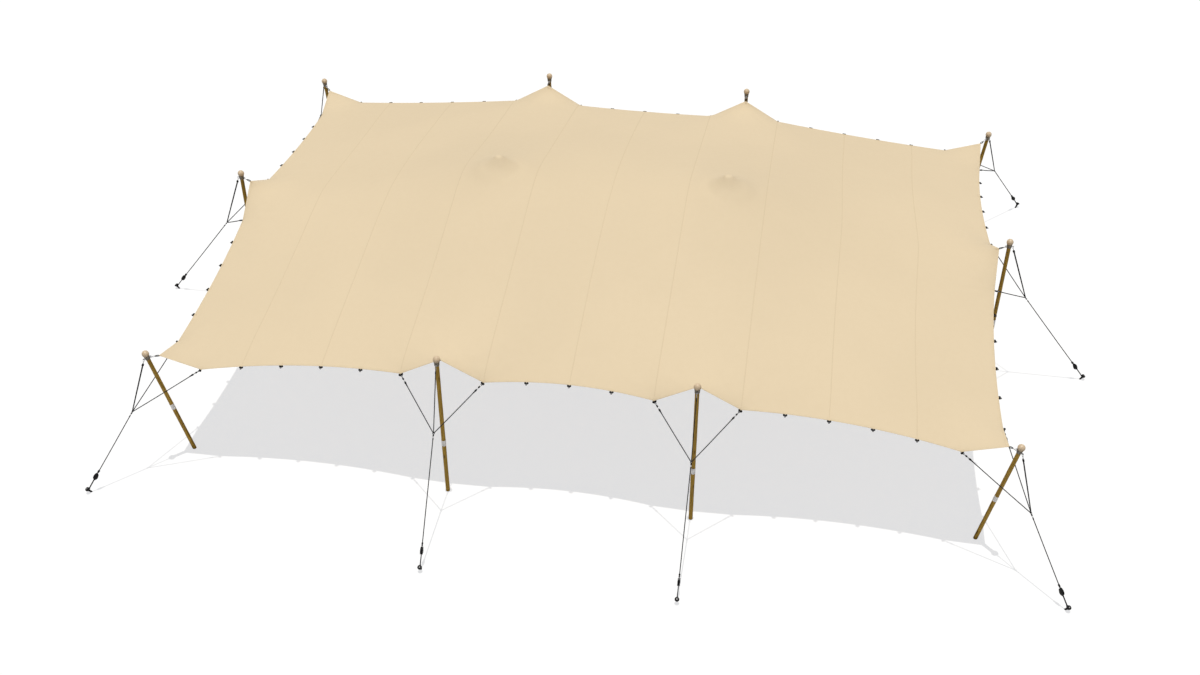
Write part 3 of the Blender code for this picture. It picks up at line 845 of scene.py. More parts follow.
def pulledFolds(grid, normals):
    # Small folds that run from each tip and kink, and a faint ripple everywhere.
    look = canopyLook
    rise = np.zeros(grid.shape[:2])
    anchors = []
    for post in posts:
        anchors.append((post["tip"], 1.0, 15))
        anchors += [(kink, 0.75, 12) for kink in post["kinks"]]
    for number, (anchor, weight, folds) in enumerate(anchors):
        dx = grid[..., 0] - anchor.x
        dy = grid[..., 1] - anchor.y
        reach = np.hypot(dx, dy)
        turn = np.arctan2(dy, dx)
        shape = (reach / look["wrinkleReach"]) * np.exp(1 - reach / look["wrinkleReach"])
        rise += weight * look["wrinkle"] * shape * np.exp(-(reach / 1.1) ** 2) * np.cos(folds * turn + number * 1.7)
    x, y = grid[..., 0], grid[..., 1]
    wave = np.sin(x * 1.9 + 0.8 * np.sin(y * 1.1)) * np.sin(y * 2.3 + 0.7 * np.sin(x * 0.9 + 1.0))
    wave += 0.5 * np.sin(x * 4.3 + y * 1.7 + 2.0) * np.sin(y * 3.7 - x * 1.1)
    rise += look["ripple"] * wave
    edge = np.ones(grid.shape[:2])
    for k in range(6):
        ease = (k / 6) ** 2 * (3 - 2 * k / 6)
        edge[k] *= ease
        edge[-1 - k] *= ease
        edge[:, k] *= ease
        edge[:, -1 - k] *= ease
    return grid + normals * (rise * edge)[..., None]


def roundPeaks(mesh):
    # A finer mesh over each pole head, with the small flat crest that the head pushes up.
    look = canopyLook
    peakX, peakY, peakZ = look["peak"]
    near, far = look["crestBlend"]
    work = bmesh.new()
    work.from_mesh(mesh)
    for side in (-1, 1):
        def reachOf(point):
            return math.hypot(point.x - side * peakX, point.y - peakY)
        close = [vertex.co.copy() for vertex in work.verts if 0.10 < reachOf(vertex.co) < 0.70]
        slope = np.polyfit([reachOf(point) for point in close], [point.z for point in close], 3)
        rim = float(np.polyval(slope, look["crestReach"]))
        fall = -float(np.polyval(np.polyder(slope), look["crestReach"]))
        edges = [edge for edge in work.edges if max(reachOf(vertex.co) for vertex in edge.verts) < 0.42]
        bmesh.ops.subdivide_edges(work, edges=edges, cuts=3, use_grid_fill=True)
        for vertex in work.verts:
            reach = reachOf(vertex.co)
            if reach >= far:
                continue
            height = float(np.polyval(slope, reach))
            inside = look["crestReach"] - reach
            if inside > 0:
                cone = rim + inside * fall + inside * inside * look["crestBend"] - peakZ
                crest = -1.2 * reach * reach
                height = peakZ - 0.006 * math.log(math.exp(-cone / 0.006) + math.exp(-crest / 0.006))
            share = min(1.0, max(0.0, (reach - near) / (far - near)))
            share = share * share * (3 - 2 * share)
            vertex.co.z += (height - vertex.co.z) * (1 - share)
    work.to_mesh(mesh)
    work.free()


def stretchCanopy():
    look = canopyLook
    grid = wholeGrid(quarterMembrane(look["stepsPerTab"]))
    grid = pulledFolds(grid, gridNormals(grid))
    columns, rows = grid.shape[:2]
    number = np.arange(columns * rows).reshape(columns, rows)
    faces = np.stack([number[:-1, :-1], number[1:, :-1], number[1:, 1:], number[:-1, 1:]], axis=-1).reshape(-1, 4)
    mesh = bpy.data.meshes.new("canopyCloth")
    mesh.from_pydata(grid.reshape(-1, 3).tolist(), [], faces.tolist())
    roundPeaks(mesh)
    helper = helperObject("canopyHelper", mesh)
    solid = helper.modifiers.new("thickness", "SOLIDIFY")
    solid.thickness = look["thickness"]
    solid.offset = 0.0
    bpy.context.view_layer.update()
    graph = bpy.context.evaluated_depsgraph_get()
    thick = bpy.data.meshes.new_from_object(helper.evaluated_get(graph), depsgraph=graph)
    bpy.data.objects.remove(helper, do_unlink=True)
    cloth = pieceFrom("canopyCloth", thick, canopyFinish, nodes=("canopy",))
    return cloth, grid


print("canopy")
canopyCloth, canopyGrid = stretchCanopy()
canopyNormals = gridNormals(canopyGrid)


def sewSeams():
    # Nine flat seams across the tent, on every second tab of the long sides.
    step = canopyLook["stepsPerTab"]
    middle = canopyGrid.shape[0] // 2
    paths, tilts = [], []
    for seam in range(-4, 5):
        line = middle + seam * 2 * step
        points = canopyGrid[line]
        tangents = np.gradient(points, axis=0)
        tangents /= np.linalg.norm(tangents, axis=1, keepdims=True)
        normals = canopyNormals[line]
        level = np.cross(tangents, np.array((0.0, 0.0, 1.0)))
        level /= np.linalg.norm(level, axis=1, keepdims=True)
        upright = np.cross(level, tangents)
        tilt = np.arctan2((normals * level).sum(1), (normals * upright).sum(1))
        paths.append([tuple(point) for point in points[1:-1]])
        tilts.append([float(t) for t in tilt[1:-1]])
    return tapeAlong("seamTapes", paths, canopyLook["seamWidth"], canopyLook["seamThickness"], seamFinish, tilts)


def bindHem():
    # A hem folded round the whole edge: a closed flat section carried along it.
    look = canopyLook
    columns, rows = canopyGrid.shape[:2]
    ring = [(i, 0, i, 1) for i in range(columns - 1)] + [(columns - 1, j, columns - 2, j) for j in range(rows - 1)]
    ring += [(i, rows - 1, i, rows - 2) for i in range(columns - 1, 0, -1)] + [(0, j, 1, j) for j in range(rows - 1, 0, -1)]
    points, faces = [], []
    section = [(-0.0020, 0.25), (0.0, 0.5), (0.5, 0.5), (0.96, 0.5), (1.0, 0.0), (0.96, -0.5), (0.5, -0.5), (0.0, -0.5), (-0.0020, -0.25)]
    for i, j, a, b in ring:
        edge = canopyGrid[i, j]
        corner = (i in (0, columns - 1)) and (j in (0, rows - 1))
        inner = canopyGrid[1 if i == 0 else columns - 2, 1 if j == 0 else rows - 2] if corner else canopyGrid[a, b]
        inward = inner - edge
        inward /= np.linalg.norm(inward)
        normal = canopyNormals[i, j]
        wide = look["hemWidth"] * (1.25 if corner else 1.0)
        for share, lift in section:
            reach = share * wide if share >= 0 else share
            points.append(edge + inward * reach + normal * (lift * look["hemThickness"]))
    count, size = len(ring), len(section)
    for k in range(count):
        for s in range(size):
            a, b = k * size + s, k * size + (s + 1) % size
            c, d = ((k + 1) % count) * size + (s + 1) % size, ((k + 1) % count) * size + s
            faces.append((a, b, c, d))
    shape = Shape()
    shape.add(points, faces)
    return pieceFrom("canopyHem", shape.mesh("canopyHem"), hemFinish)


seamTapes = sewSeams()
canopyHem = bindHem()


# ---- fittings on the canopy edge

def tabPlaces():
    # Every tab on the edge, with the direction out of the cloth, and whether a rope pulls there.
    step = canopyLook["stepsPerTab"]
    columns, rows = canopyGrid.shape[:2]
    tabs = []
    for i in range(0, columns, step):
        tabs += [(i, 0, i, 1), (i, rows - 1, i, rows - 2)]
    for j in range(step, rows - 1, step):
        tabs += [(0, j, 1, j), (columns - 1, j, columns - 2, j)]
    tips = [post["tip"] for post in posts]
    kinks = [kink for post in posts for kink in post["kinks"]]
    found = []
    for i, j, a, b in tabs:
        point = Vector(canopyGrid[i, j])
        corner = (i in (0, columns - 1)) and (j in (0, rows - 1))
        inner = canopyGrid[1 if i == 0 else columns - 2, 1 if j == 0 else rows - 2] if corner else canopyGrid[a, b]
        outward = (point - Vector(inner)).normalized()
        normal = Vector(canopyNormals[i, j])
        role = "free"
        if min((point - tip).length for tip in tips) < 0.02:
            role = "tip"
        elif min((point - kink).length for kink in kinks) < 0.02:
            role = "kink"
        found.append((point, outward, normal, role))
    return found


def clampShape(size):
    # Two round lobes side by side that bite the hem, a bridge between them and a ring below. Z points out of the cloth.
    shape = Shape()
    lobe = [(0.0, -0.0065), (0.008, -0.0065), (0.0105, -0.0045), (0.0115, -0.0015), (0.0115, 0.0015),
            (0.0105, 0.0045), (0.008, 0.0065), (0.005, 0.0060), (0.004, 0.0078), (0.0, 0.0078)]
    for side in (-1, 1):
        points, faces = turnedRings([(r * size, h * size) for r, h in lobe], 14)
        turn = Matrix.Rotation(math.radians(90), 4, "X")
        turn.translation = Vector((side * 0.0115 * size, 0.0, 0.004 * size))
        shape.add(moved(turn, points), faces)
    points, faces = block([0.022 * size, 0.009 * size, 0.010 * size], [0, 0, 0.012 * size], 0.002 * size, 1)
    shape.add(points, faces)
    points, faces = tubeAlong(arc((0, 0, 0.0205 * size), 0.0070 * size, 0, 345, 14), 0.0030 * size, 8, closed=True)
    shape.add(points, faces)
    return shape


def tabShape():
    # A folded webbing tab sewn over the hem, in the cloth's own colour. Z points out of the cloth.
    shape = Shape()
    path = [(0, 0.0034, -0.052), (0, 0.0036, -0.030), (0, 0.0036, -0.006), (0, 0.0028, 0.002), (0, 0.0, 0.006),
            (0, -0.0028, 0.002), (0, -0.0036, -0.006), (0, -0.0036, -0.030), (0, -0.0034, -0.052)]
    points, faces = [], []
    half, thick = 0.015, 0.0010
    for k, spot in enumerate(path):
        before, after = Vector(path[max(k - 1, 0)]), Vector(path[min(k + 1, len(path) - 1)])
        tangent = (after - before).normalized()
        normal = tangent.cross(Vector((1, 0, 0)))
        for side, lift in ((-half, -thick), (half, -thick), (half, thick), (-half, thick)):
            points.append(tuple(Vector(spot) + Vector((side, 0, 0)) + normal * lift))
    for k in range(len(path) - 1):
        for s in range(4):
            faces.append((k * 4 + s, k * 4 + (s + 1) % 4, k * 4 + 4 + (s + 1) % 4, k * 4 + 4 + s))
    faces += [(3, 2, 1, 0), tuple(range(len(path) * 4 - 4, len(path) * 4))]
    shape.add(points, faces)
    for row in (-0.045, -0.018):
        for k in range(5):
            centre = (-0.010 + 0.005 * k, 0.0048, row)
            points, faces = block([0.0016, 0.0009, 0.0060], centre, 0.0, 1)
            shape.add(points, faces)
    return shape


print("edge fittings")
tabs = tabPlaces()
tabRows = [(point, outward, normal.cross(outward)) for point, outward, normal, _ in tabs]
edgeTabs = copiesOf("edgeTabs", tabShape(), tabRows, hemFinish)
freeRows = []
for point, outward, normal, role in tabs:
    if role == "free":
        low = (outward - normal * 0.12).normalized()
        freeRows.append((point + outward * 0.015 - normal * 0.001, low, normal.cross(outward)))
edgeClips = copiesOf("edgeClips", clampShape(1.7), freeRows, clipFinish)


# ---- poles

def poleProfile(length, joint, top):
    # The timber from foot to top in one length, very slightly uneven as worked poles are.
    look = poleLook
    rings = []
    count = int(top / look["ring"])
    for k in range(count + 1):
        height = top * k / count
        bulge = 0.0005 * math.sin(height * 7.3) + 0.0003 * math.sin(height * 19.0 + 1.0)
        rings.append((look["radius"] + bulge, height))
    return [(0.0, 0.0)] + rings + [(0.0, top)]


def setPoles():
    look = poleLook
    timber, sleeves, feet = Shape(), Shape(), []
    stands = []
    for post in posts:
        length = (post["ball"] - post["foot"]).length
        stands.append((post["foot"], post["axis"], length - headLook["height"], length * post["joint"], "pole_" + post["name"]))
    for side, name in ((-1, "left"), (1, "right")):
        low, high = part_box("centre_pole_" + name)
        foot = Vector((canopyLook["peak"][0] * side, 0.0, 0.0))
        stands.append((foot, up.copy(), high.z, centreLook["joint"], "centre_pole_" + name))
    for seed, (foot, axis, top, joint, name) in enumerate(stands):
        matrix = frameOf(foot, axis)
        local, faces = turnedRings(poleProfile(top, joint, top), look["sides"])
        world = moved(matrix, local)
        # The foot is cut flat on the ground.
        slide = local[:, 2] < 0.001
        world[slide] -= np.array(axis)[None, :] * (world[slide][:, 2] / axis.z)[:, None]
        timber.add(world, faces, local, seed * 0.37)
        half, radius = look["sleeveLength"] / 2, look["sleeveRadius"]
        inside = look["radius"] - 0.001
        profile = [(inside, joint - half), (radius - 0.0012, joint - half), (radius, joint - half + 0.0015)]
        profile += [(radius, joint - half + 0.010), (radius - 0.0008, joint - half + 0.012)]
        profile += [(radius - 0.0008, joint + half - 0.012), (radius, joint + half - 0.010)]
        profile += [(radius, joint + half - 0.0015), (radius - 0.0012, joint + half), (inside, joint + half)]
        local, faces = turnedRings(profile, look["sides"])
        count = look["sides"]
        last = len(local) - count
        faces += [(k, last + k, last + (k + 1) % count, (k + 1) % count) for k in range(count)]
        sleeves.add(moved(matrix, local), faces, local, seed * 0.37)
        for turn in (35, 215):
            for rise in (-0.035, 0.035):
                spin = Matrix.Rotation(math.radians(turn), 4, "Z")
                out = spin @ Vector((radius - 0.0015, 0.0, joint + rise))
                screw = frameOf(matrix @ out, matrix.to_3x3() @ (spin @ Vector((1, 0, 0))))
                profile = [(0.0, 0.0), (0.0046, 0.0), (0.0046, 0.0014), (0.0034, 0.0024), (0.0012, 0.0026), (0.0, 0.0016)]
                dots, sides = turnedRings(profile, 10)
                sleeves.add(moved(screw, dots), sides, dots + np.array((0, 0, 5.0)), seed * 0.37)
    poles = pieceFrom("timberPoles", timber.mesh("timberPoles"), timberFinish, nodes=[stand[4] for stand in stands])
    joints = pieceFrom("poleSleeves", sleeves.mesh("poleSleeves"), sleeveFinish)
    return poles, joints


print("poles")
timberPoles, poleSleeves = setPoles()


# ---- pole heads

def headFrames(post):
    ball, axis = post["ball"], post["axis"]
    collar = ball - axis * headLook["lugDrop"]
    outward = post["junction"] - collar
    outward = (outward - axis * outward.dot(axis)).normalized()
    lug = collar + outward * (headLook["collarTop"] + 0.025)
    return collar, outward, lug


def ballShape():
    shape = Shape()
    radius = headLook["ballRadius"]
    profile = [(0.0, -0.062), (0.030, -0.060)]
    for k in range(1, 23):
        turn = math.radians(-62.0 + 152.0 * k / 23)
        groove = 0.0010 if k in (9, 11) else 0.0
        profile.append(((radius - groove) * math.cos(turn), (radius - groove) * math.sin(turn)))
    profile.append((0.0, radius))
    points, faces = turnedRings(profile, 36)
    shape.add(points, faces)
    return shape


def collarShape():
    shape = Shape()
    look = headLook
    profile = [(0.0, -0.044), (0.046, -0.044), (0.051, -0.047), (0.0525, -0.050), (0.0520, -0.056), (0.0495, -0.059),
               (look["collarTop"] - 0.002, -0.064), (0.0470, -0.082), (0.0455, -0.100), (0.0446, -0.113),
               (0.0455, -0.116), (0.0455, -0.122), (0.0440, -0.125), (0.0400, -0.125), (0.0, -0.1245)]
    points, faces = turnedRings(profile, 36)
    shape.add(points, faces)
    for turn in range(0, 360, 90):
        spin = Matrix.Rotation(math.radians(turn + 45), 4, "Z")
        screw = frameOf(spin @ Vector((0.0440, 0.0, -0.106)), spin @ Vector((1, 0, 0)))
        points, faces = turnedRings([(0.0, 0.0), (0.0050, 0.0), (0.0050, 0.0020), (0.0038, 0.0032), (0.0, 0.0030)], 8)
        shape.add(moved(screw, points), faces)
    return shape


def eyeShape():
    # A welded eye: Z points away from the collar.
    shape = Shape()
    points, faces = tubeAlong([(0, 0, -0.012), (0, 0, 0.008)], [0.0085, 0.0065], 10)
    shape.add(points, faces)
    points, faces = tubeAlong(arc((0, 0, 0.018), 0.0110, -90, 255, 20), 0.0045, 8, closed=True)
    shape.add(points, faces)
    return shape


def shackleShape(length):
    # A bow shackle with its pin at the origin, opening along Z.
    shape = Shape()
    half = 0.013
    path = [(half, 0, -0.004), (half, 0, length * 0.45)]
    path += [tuple(p) for p in arc((0, 0, length - half - 0.004), half, 0, 180, 10)]
    path += [(-half, 0, length * 0.45), (-half, 0, -0.004)]
    points, faces = tubeAlong(path, 0.0042, 8)
    shape.add(points, faces)
    points, faces = tubeAlong([(-0.024, 0, 0), (0.024, 0, 0)], 0.0042, 10)
    shape.add(points, faces)
    for side in (-1, 1):
        points, faces = tubeAlong([(side * 0.0175, 0, 0), (side * 0.0245, 0, 0)], 0.0078, 12)
        shape.add(points, faces)
    return shape


def hookShape(length, wide, wire):
    # A snap hook: an oval ring with a gate and a swivel collar, running along Z from the origin.
    shape = Shape()
    half = wide / 2
    path = [tuple(p) for p in arc((0, 0, half + 0.003), half, 180, 360, 10)]
    path += [tuple(p) for p in arc((0, 0, length - half - 0.012), half * 0.85, 0, 180, 10)]
    points, faces = tubeAlong(path, wire, 8, closed=True)
    shape.add(points, faces)
    profile = [(0.0, length - 0.018), (0.0090, length - 0.018), (0.0115, length - 0.013), (0.0115, length - 0.005),
               (0.0080, length), (0.0, length)]
    points, faces = turnedRings(profile, 12)
    shape.add(points, faces)
    points, faces = tubeAlong([(half + 0.001, 0, length * 0.26), (half * 0.95, 0, length * 0.68)], 0.0072, 8)
    shape.add(points, faces)
    return shape


def beadShape(length, radius):
    shape = Shape()
    profile = [(0.0, -length / 2), (radius * 0.55, -length / 2), (radius * 0.92, -length * 0.34), (radius, 0.0),
               (radius * 0.92, length * 0.34), (radius * 0.55, length / 2), (0.0, length / 2)]
    points, faces = turnedRings(profile, 14)
    shape.add(points, faces)
    return shape


print("pole heads")
headRows, eyeRows, shackleRows, headRingRows, tipHookRows = [], [], [], [], []
for post in posts:
    collar, outward, lug = headFrames(post)
    headRows.append((post["ball"], post["axis"], post["outward"]))
    sideways = post["axis"].cross(outward)
    eyeRows.append((collar + outward * 0.047, outward, sideways))
    tipWay = (post["tip"] - collar).normalized()
    flatWay = tipWay - post["axis"] * tipWay.dot(post["axis"])
    sideways = post["axis"].cross(tipWay)
    eyeRows.append((collar + flatWay.normalized() * 0.047, tipWay, sideways))
    shackleRows.append((collar + tipWay * 0.062, tipWay, sideways))
    between = ((post["tip"] - collar).length + 0.030) / 2
    headRingRows.append((collar + tipWay * between, tipWay, tipWay.cross(sideways)))
    tipHookRows.append((post["tip"] + tipWay * 0.004, -tipWay, sideways))
    # On the outer side the strap hangs from a shackle and a ring.
    strapWay = (post["junction"] - lug).normalized()
    level = post["axis"].cross(outward).normalized()
    hang = collar + outward * 0.063
    shackleRows.append((hang, strapWay, strapWay.cross(level)))
    headRingRows.append((hang + strapWay * 0.062, strapWay, level))
headBalls = copiesOf("headBalls", ballShape(), headRows, ballFinish,
                     nodes=["pole_head_" + post["name"] for post in posts])
headCollars = copiesOf("headCollars", collarShape(), headRows, collarFinish)
headEyes = copiesOf("headEyes", eyeShape(), eyeRows, linkFinish)
headShackles = copiesOf("headShackles", shackleShape(0.052), shackleRows, linkFinish)
tipHooks = copiesOf("tipHooks", hookShape(0.082, 0.034, 0.0072), tipHookRows, clipFinish)


# ---- ropes and their fittings

def linePoints(start, end, step=0.25, sag=0.0):
    count = max(2, int((end - start).length / step))
    return [tuple(start.lerp(end, k / count) - up * (sag * 4 * (k / count) * (1 - k / count))) for k in range(count + 1)]


print("ropes")
spreaderPaths, guyPaths, strapPaths, tailPaths = [], [], [], []
clampRows, swivelBeadRows, ringRows, beadRows, ferruleRows, swivelRows = [], [], [], [], [], []
junctionRows, tensionerRows, whipRows, seizingRows = [], [], [], []
for post in posts:
    junction = post["junction"]
    collar, outward, lug = headFrames(post)
    for kink in post["kinks"]:
        way = (junction - kink).normalized()
        level = way.cross(up).normalized()
        clampRows.append((kink + way * 0.012, way, level))
        ringRows.append((kink + way * 0.076, way, way.cross(level)))
        swivelBeadRows.append((kink + way * 0.112, way, level))
        ferruleRows.append((kink + way * 0.154, way, level))
        beadRows.append((kink + way * 0.194, way, level))
        whipRows.append((kink + way * 0.236, way, level))
        spreaderPaths.append(linePoints(kink + way * 0.172, junction - way * 0.004, sag=0.004))
    strapWay = (junction - lug).normalized()
    sideways = post["axis"].cross(outward).normalized()
    hang = collar + outward * 0.063
    spread = strapWay.cross(sideways).normalized()
    top = hang + strapWay * 0.082
    seizingRows.append((top + strapWay * 0.040, strapWay, spread))
    wide, close = spread * ropeLook["strapSpread"], spread * (ropeLook["strapSpread"] * 0.5)
    foot = junction - strapWay * 0.012
    side = [tuple(top + wide * 0.7 + strapWay * 0.012), tuple(top + wide + strapWay * 0.035),
            tuple(top.lerp(foot, 0.5) + wide * 0.85), tuple(foot + close)]
    other = [tuple(top - wide * 0.7 + strapWay * 0.012), tuple(top - wide + strapWay * 0.035),
             tuple(top.lerp(foot, 0.5) - wide * 0.85), tuple(foot - close)]
    strapPaths.append(side[::-1] + [tuple(top)] + other)
    guyWay = (post["tensioner"] - junction).normalized()
    level = guyWay.cross(up).normalized()
    junctionRows.append((junction, guyWay, level))
    swivelRows.append((junction + guyWay * 0.020, guyWay, level))
    whipRows.append((junction + guyWay * 0.100, guyWay, level))
    guyPaths.append(linePoints(junction + guyWay * 0.080, post["tensioner"] - guyWay * 0.132, sag=0.003))
    tensionerRows.append((post["tensioner"], guyWay, level))
    grip = post["stake"] - post["stakeAxis"] * stakeLook["grip"]
    tailWay = (grip - post["tensioner"]).normalized()
    start = post["tensioner"] + tailWay * 0.058
    tailPaths.append((start, grip, tailWay, post))
junctionNodes = ["rigging_" + post["name"] for post in posts]
spreaderRopes = ropeAlong("spreaderRopes", spreaderPaths, ropeLook["radius"], ropeLook["lay"], ropeFinish,
                          nodes=junctionNodes)
guyRopes = ropeAlong("guyRopes", guyPaths, ropeLook["radius"], ropeLook["lay"], ropeFinish)
headStraps = ropeAlong("headStraps", strapPaths, ropeLook["strapRadius"], 0.065, ropeFinish)


def ringShape(radius, wire, stretch=1.0):
    shape = Shape()
    path = [Vector((p.x, p.y, p.z * stretch)) for p in arc((0, 0, 0), radius, 0, 345, 20)]
    points, faces = tubeAlong(path, wire, 8, closed=True)
    shape.add(points, faces)
    return shape


def whippingShape(wide=1.0):
    # Cord wound round the rope's end, or round two ropes, as a few tight turns.
    shape = Shape()
    profile = [(0.0, -0.020)]
    for k in range(9):
        base = -0.019 + k * 0.0042
        profile += [(0.0100, base), (0.0114, base + 0.0021)]
    profile += [(0.0100, 0.0188), (0.0, 0.0195)]
    points, faces = turnedRings(profile, 14)
    shape.add(points * np.array((wide, 1.0, 1.0)), faces)
    return shape


def kinkSwivelShape():
    # The swivel between the clamp and the rope: an eye, a body and a stem.
    shape = Shape()
    profile = [(0.0, -0.022), (0.0060, -0.022), (0.0105, -0.018), (0.0145, -0.010), (0.0150, -0.002), (0.0150, 0.006),
               (0.0125, 0.012), (0.0085, 0.016), (0.0070, 0.024), (0.0, 0.024)]
    points, faces = turnedRings(profile, 14)
    shape.add(points, faces)
    points, faces = tubeAlong(arc((0, 0, -0.026), 0.0080, -60, 240, 12), 0.0032, 8)
    shape.add(points, faces)
    return shape


def swivelShape():
    # Below the junction: the black swivel. Its pale link is one of the pale rings.
    shape = Shape()
    profile = [(0.0, 0.0), (0.009, 0.0), (0.013, 0.006), (0.014, 0.014), (0.011, 0.024), (0.007, 0.030), (0.0, 0.030)]
    points, faces = turnedRings(profile, 14)
    shape.add(points, faces)
    return shape


kinkClamps = copiesOf("kinkClamps", clampShape(1.9), clampRows, clipFinish)
kinkSwivels = copiesOf("kinkSwivels", kinkSwivelShape(), swivelBeadRows, clipFinish)
paleRings = copiesOf("paleRings", ringShape(0.011, 0.0034, 1.5), headRingRows + ringRows
                     + [(row[0] + row[1] * 0.042, row[1], row[2]) for row in swivelRows], linkFinish)
ropeBeads = copiesOf("ropeBeads", beadShape(0.052, 0.0165), beadRows, clipFinish)
ropeFerrules = copiesOf("ropeFerrules", beadShape(0.050, 0.0095), ferruleRows, linkFinish)
ropeWhippings = copiesOf("ropeWhippings", whippingShape(), whipRows, ropeFinish)
strapSeizings = copiesOf("strapSeizings", whippingShape(2.0), seizingRows, ropeFinish)
junctionRings = copiesOf("junctionRings", ringShape(0.015, 0.0058), junctionRows, clipFinish)
junctionSwivels = copiesOf("junctionSwivels", swivelShape(), swivelRows, clipFinish)


# ---- tensioners and tails

def leafOutline(tall, length, count):
    # A pointed oval round the X axis, longest along Z.
    outline = []
    for k in range(count):
        turn = 2 * math.pi * k / count
        across, along = math.cos(turn), math.sin(turn)
        outline.append((tall / 2 * math.copysign(abs(across) ** 1.25, across), length / 2 * along))
    return outline


def plateFrom(outline, low, high, edge=1.0):
    points = [(low, y * edge, z * edge) for y, z in outline]
    points += [(low + (high - low) * 0.25, y, z) for y, z in outline]
    points += [(low + (high - low) * 0.75, y, z) for y, z in outline]
    points += [(high, y * edge, z * edge) for y, z in outline]
    count = len(outline)
    faces = [tuple(range(count)), tuple(range(4 * count - 1, 3 * count - 1, -1))]
    for layer in range(3):
        for k in range(count):
            a, b = layer * count + k, layer * count + (k + 1) % count
            faces.append((a, a + count, b + count, b))
    return np.array(points), faces


def tensionerShape():
    # A lashing ratchet: two leaf plates, toothed wheels, a wound core and a handle folded over its back,
    # with the swivel and the rope's thimble above it.
    look = tensionerLook
    shape = Shape()
    wide, tall, length = look["width"], look["height"], look["length"]
    plate = leafOutline(tall, length, 28)
    core = leafOutline(tall * 0.74, length * 0.80, 24)
    teeth = []
    for k in range(30):
        turn = 2 * math.pi * k / 30
        reach = 0.0235 if k % 2 else 0.0285
        teeth.append((reach * math.cos(turn), reach * math.sin(turn) - 0.006))
    for side in (-1, 1):
        shape.add(*plateFrom(plate, side * wide * 0.36, side * wide * 0.45, 0.97))
        shape.add(*plateFrom(teeth, side * wide * 0.27, side * wide * 0.34, 0.98))
    shape.add(*plateFrom(core, -wide * 0.26, wide * 0.26, 0.94))
    # Windings of the strap on the drum.
    for rise in (0.0, 0.0032):
        turn = Matrix.Rotation(math.radians(90), 4, "Y")
        turn.translation = Vector((0.0, 0.004, -0.006))
        reach = 0.0265 + rise
        points, faces = turnedRings([(0.0, -0.0085 + rise), (reach, -0.0085 + rise), (reach, 0.0085 - rise), (0.0, 0.0085 - rise)], 22)
        shape.add(moved(turn, points), faces)
    axle = [(0.0, -wide * 0.52), (0.0085, -wide * 0.52), (0.0095, -wide * 0.48), (0.0095, wide * 0.48),
            (0.0085, wide * 0.52), (0.0, wide * 0.52)]
    turn = Matrix.Rotation(math.radians(90), 4, "Y")
    turn.translation = Vector((0.0, 0.0, -0.006))
    points, faces = turnedRings(axle, 16)
    shape.add(moved(turn, points), faces)
    # The handle follows the back of the plates and ends in a crossbar.
    for side in (-1, 1):
        arm = [(side * wide * 0.40, 0.012, -0.030), (side * wide * 0.41, 0.030, -0.014), (side * wide * 0.41, 0.0385, 0.008),
               (side * wide * 0.40, 0.034, 0.034), (side * wide * 0.37, 0.023, 0.052)]
        points, faces = tubeAlong(arm, 0.0042, 8)
        shape.add(points, faces)
    points, faces = block([wide * 0.80, 0.008, 0.022], [0, 0.0270, 0.046], 0.0025, 2)
    shape.add(points, faces)
    points, faces = block([wide * 0.62, 0.006, 0.030], [0, 0.0375, 0.014], 0.0022, 1)
    shape.add(points, faces)
    for rise in (length * 0.40, -length * 0.40):
        points, faces = tubeAlong([(-wide * 0.49, 0, rise), (wide * 0.49, 0, rise)], 0.0058, 12)
        shape.add(points, faces)
    # The neck, the swivel and the lobes of the hook, on the rope's side.
    points, faces = turnedRings([(0.0, -0.064), (0.0100, -0.066), (0.0085, -0.076), (0.0100, -0.083), (0.0150, -0.086),
                                 (0.0165, -0.092), (0.0145, -0.098), (0.0105, -0.101), (0.0, -0.101)], 16)
    shape.add(points, faces)
    for side in (-1, 1):
        lobe = [(0, side * 0.004, -0.098), (0, side * 0.0130, -0.106), (0, side * 0.0160, -0.118), (0, side * 0.0130, -0.131),
                (0, side * 0.004, -0.139)]
        points, faces = tubeAlong(lobe, [0.0070, 0.0080, 0.0088, 0.0080, 0.0070], 10)
        shape.add(points, faces)
    points, faces = turnedRings([(0.0, -0.146), (0.0100, -0.145), (0.0160, -0.136), (0.0170, -0.120), (0.0120, -0.106), (0.0, -0.101)], 14)
    shape.add(points, faces)
    return shape


def tieTails():
    # Webbing from the ratchet, round the stake under its head and back.
    paths = []
    for start, grip, way, post in tailPaths:
        axis = post["stakeAxis"]
        level = way.cross(up).normalized()
        flat = (way - axis * way.dot(axis)).normalized()
        across = axis.cross(flat).normalized()
        reach = stakeLook["shaft"] + 0.0035
        loop = [grip + flat * (-reach * math.cos(t)) + across * (reach * math.sin(t))
                for t in [math.radians(a) for a in range(60, 301, 20)]]
        parting = grip - way * 0.062
        sides = []
        for hand, end in ((1, loop[0]), (-1, loop[-1])):
            offset = level * (0.0022 * hand)
            if (end - grip).dot(offset) < 0:
                offset = -offset
            sides.append([tuple(start + offset), tuple(start.lerp(parting, 0.5) + offset), tuple(parting + offset)])
        paths.append(sides[0] + [tuple(point) for point in loop] + sides[1][::-1])
    return tapeAlong("tailStraps", paths, 0.0040, tensionerLook["tail"], webbingFinish)


print("tensioners")
ratchets = copiesOf("strapTensioners", tensionerShape(), tensionerRows, ratchetFinish)
tailStraps = tieTails()


# ---- stakes

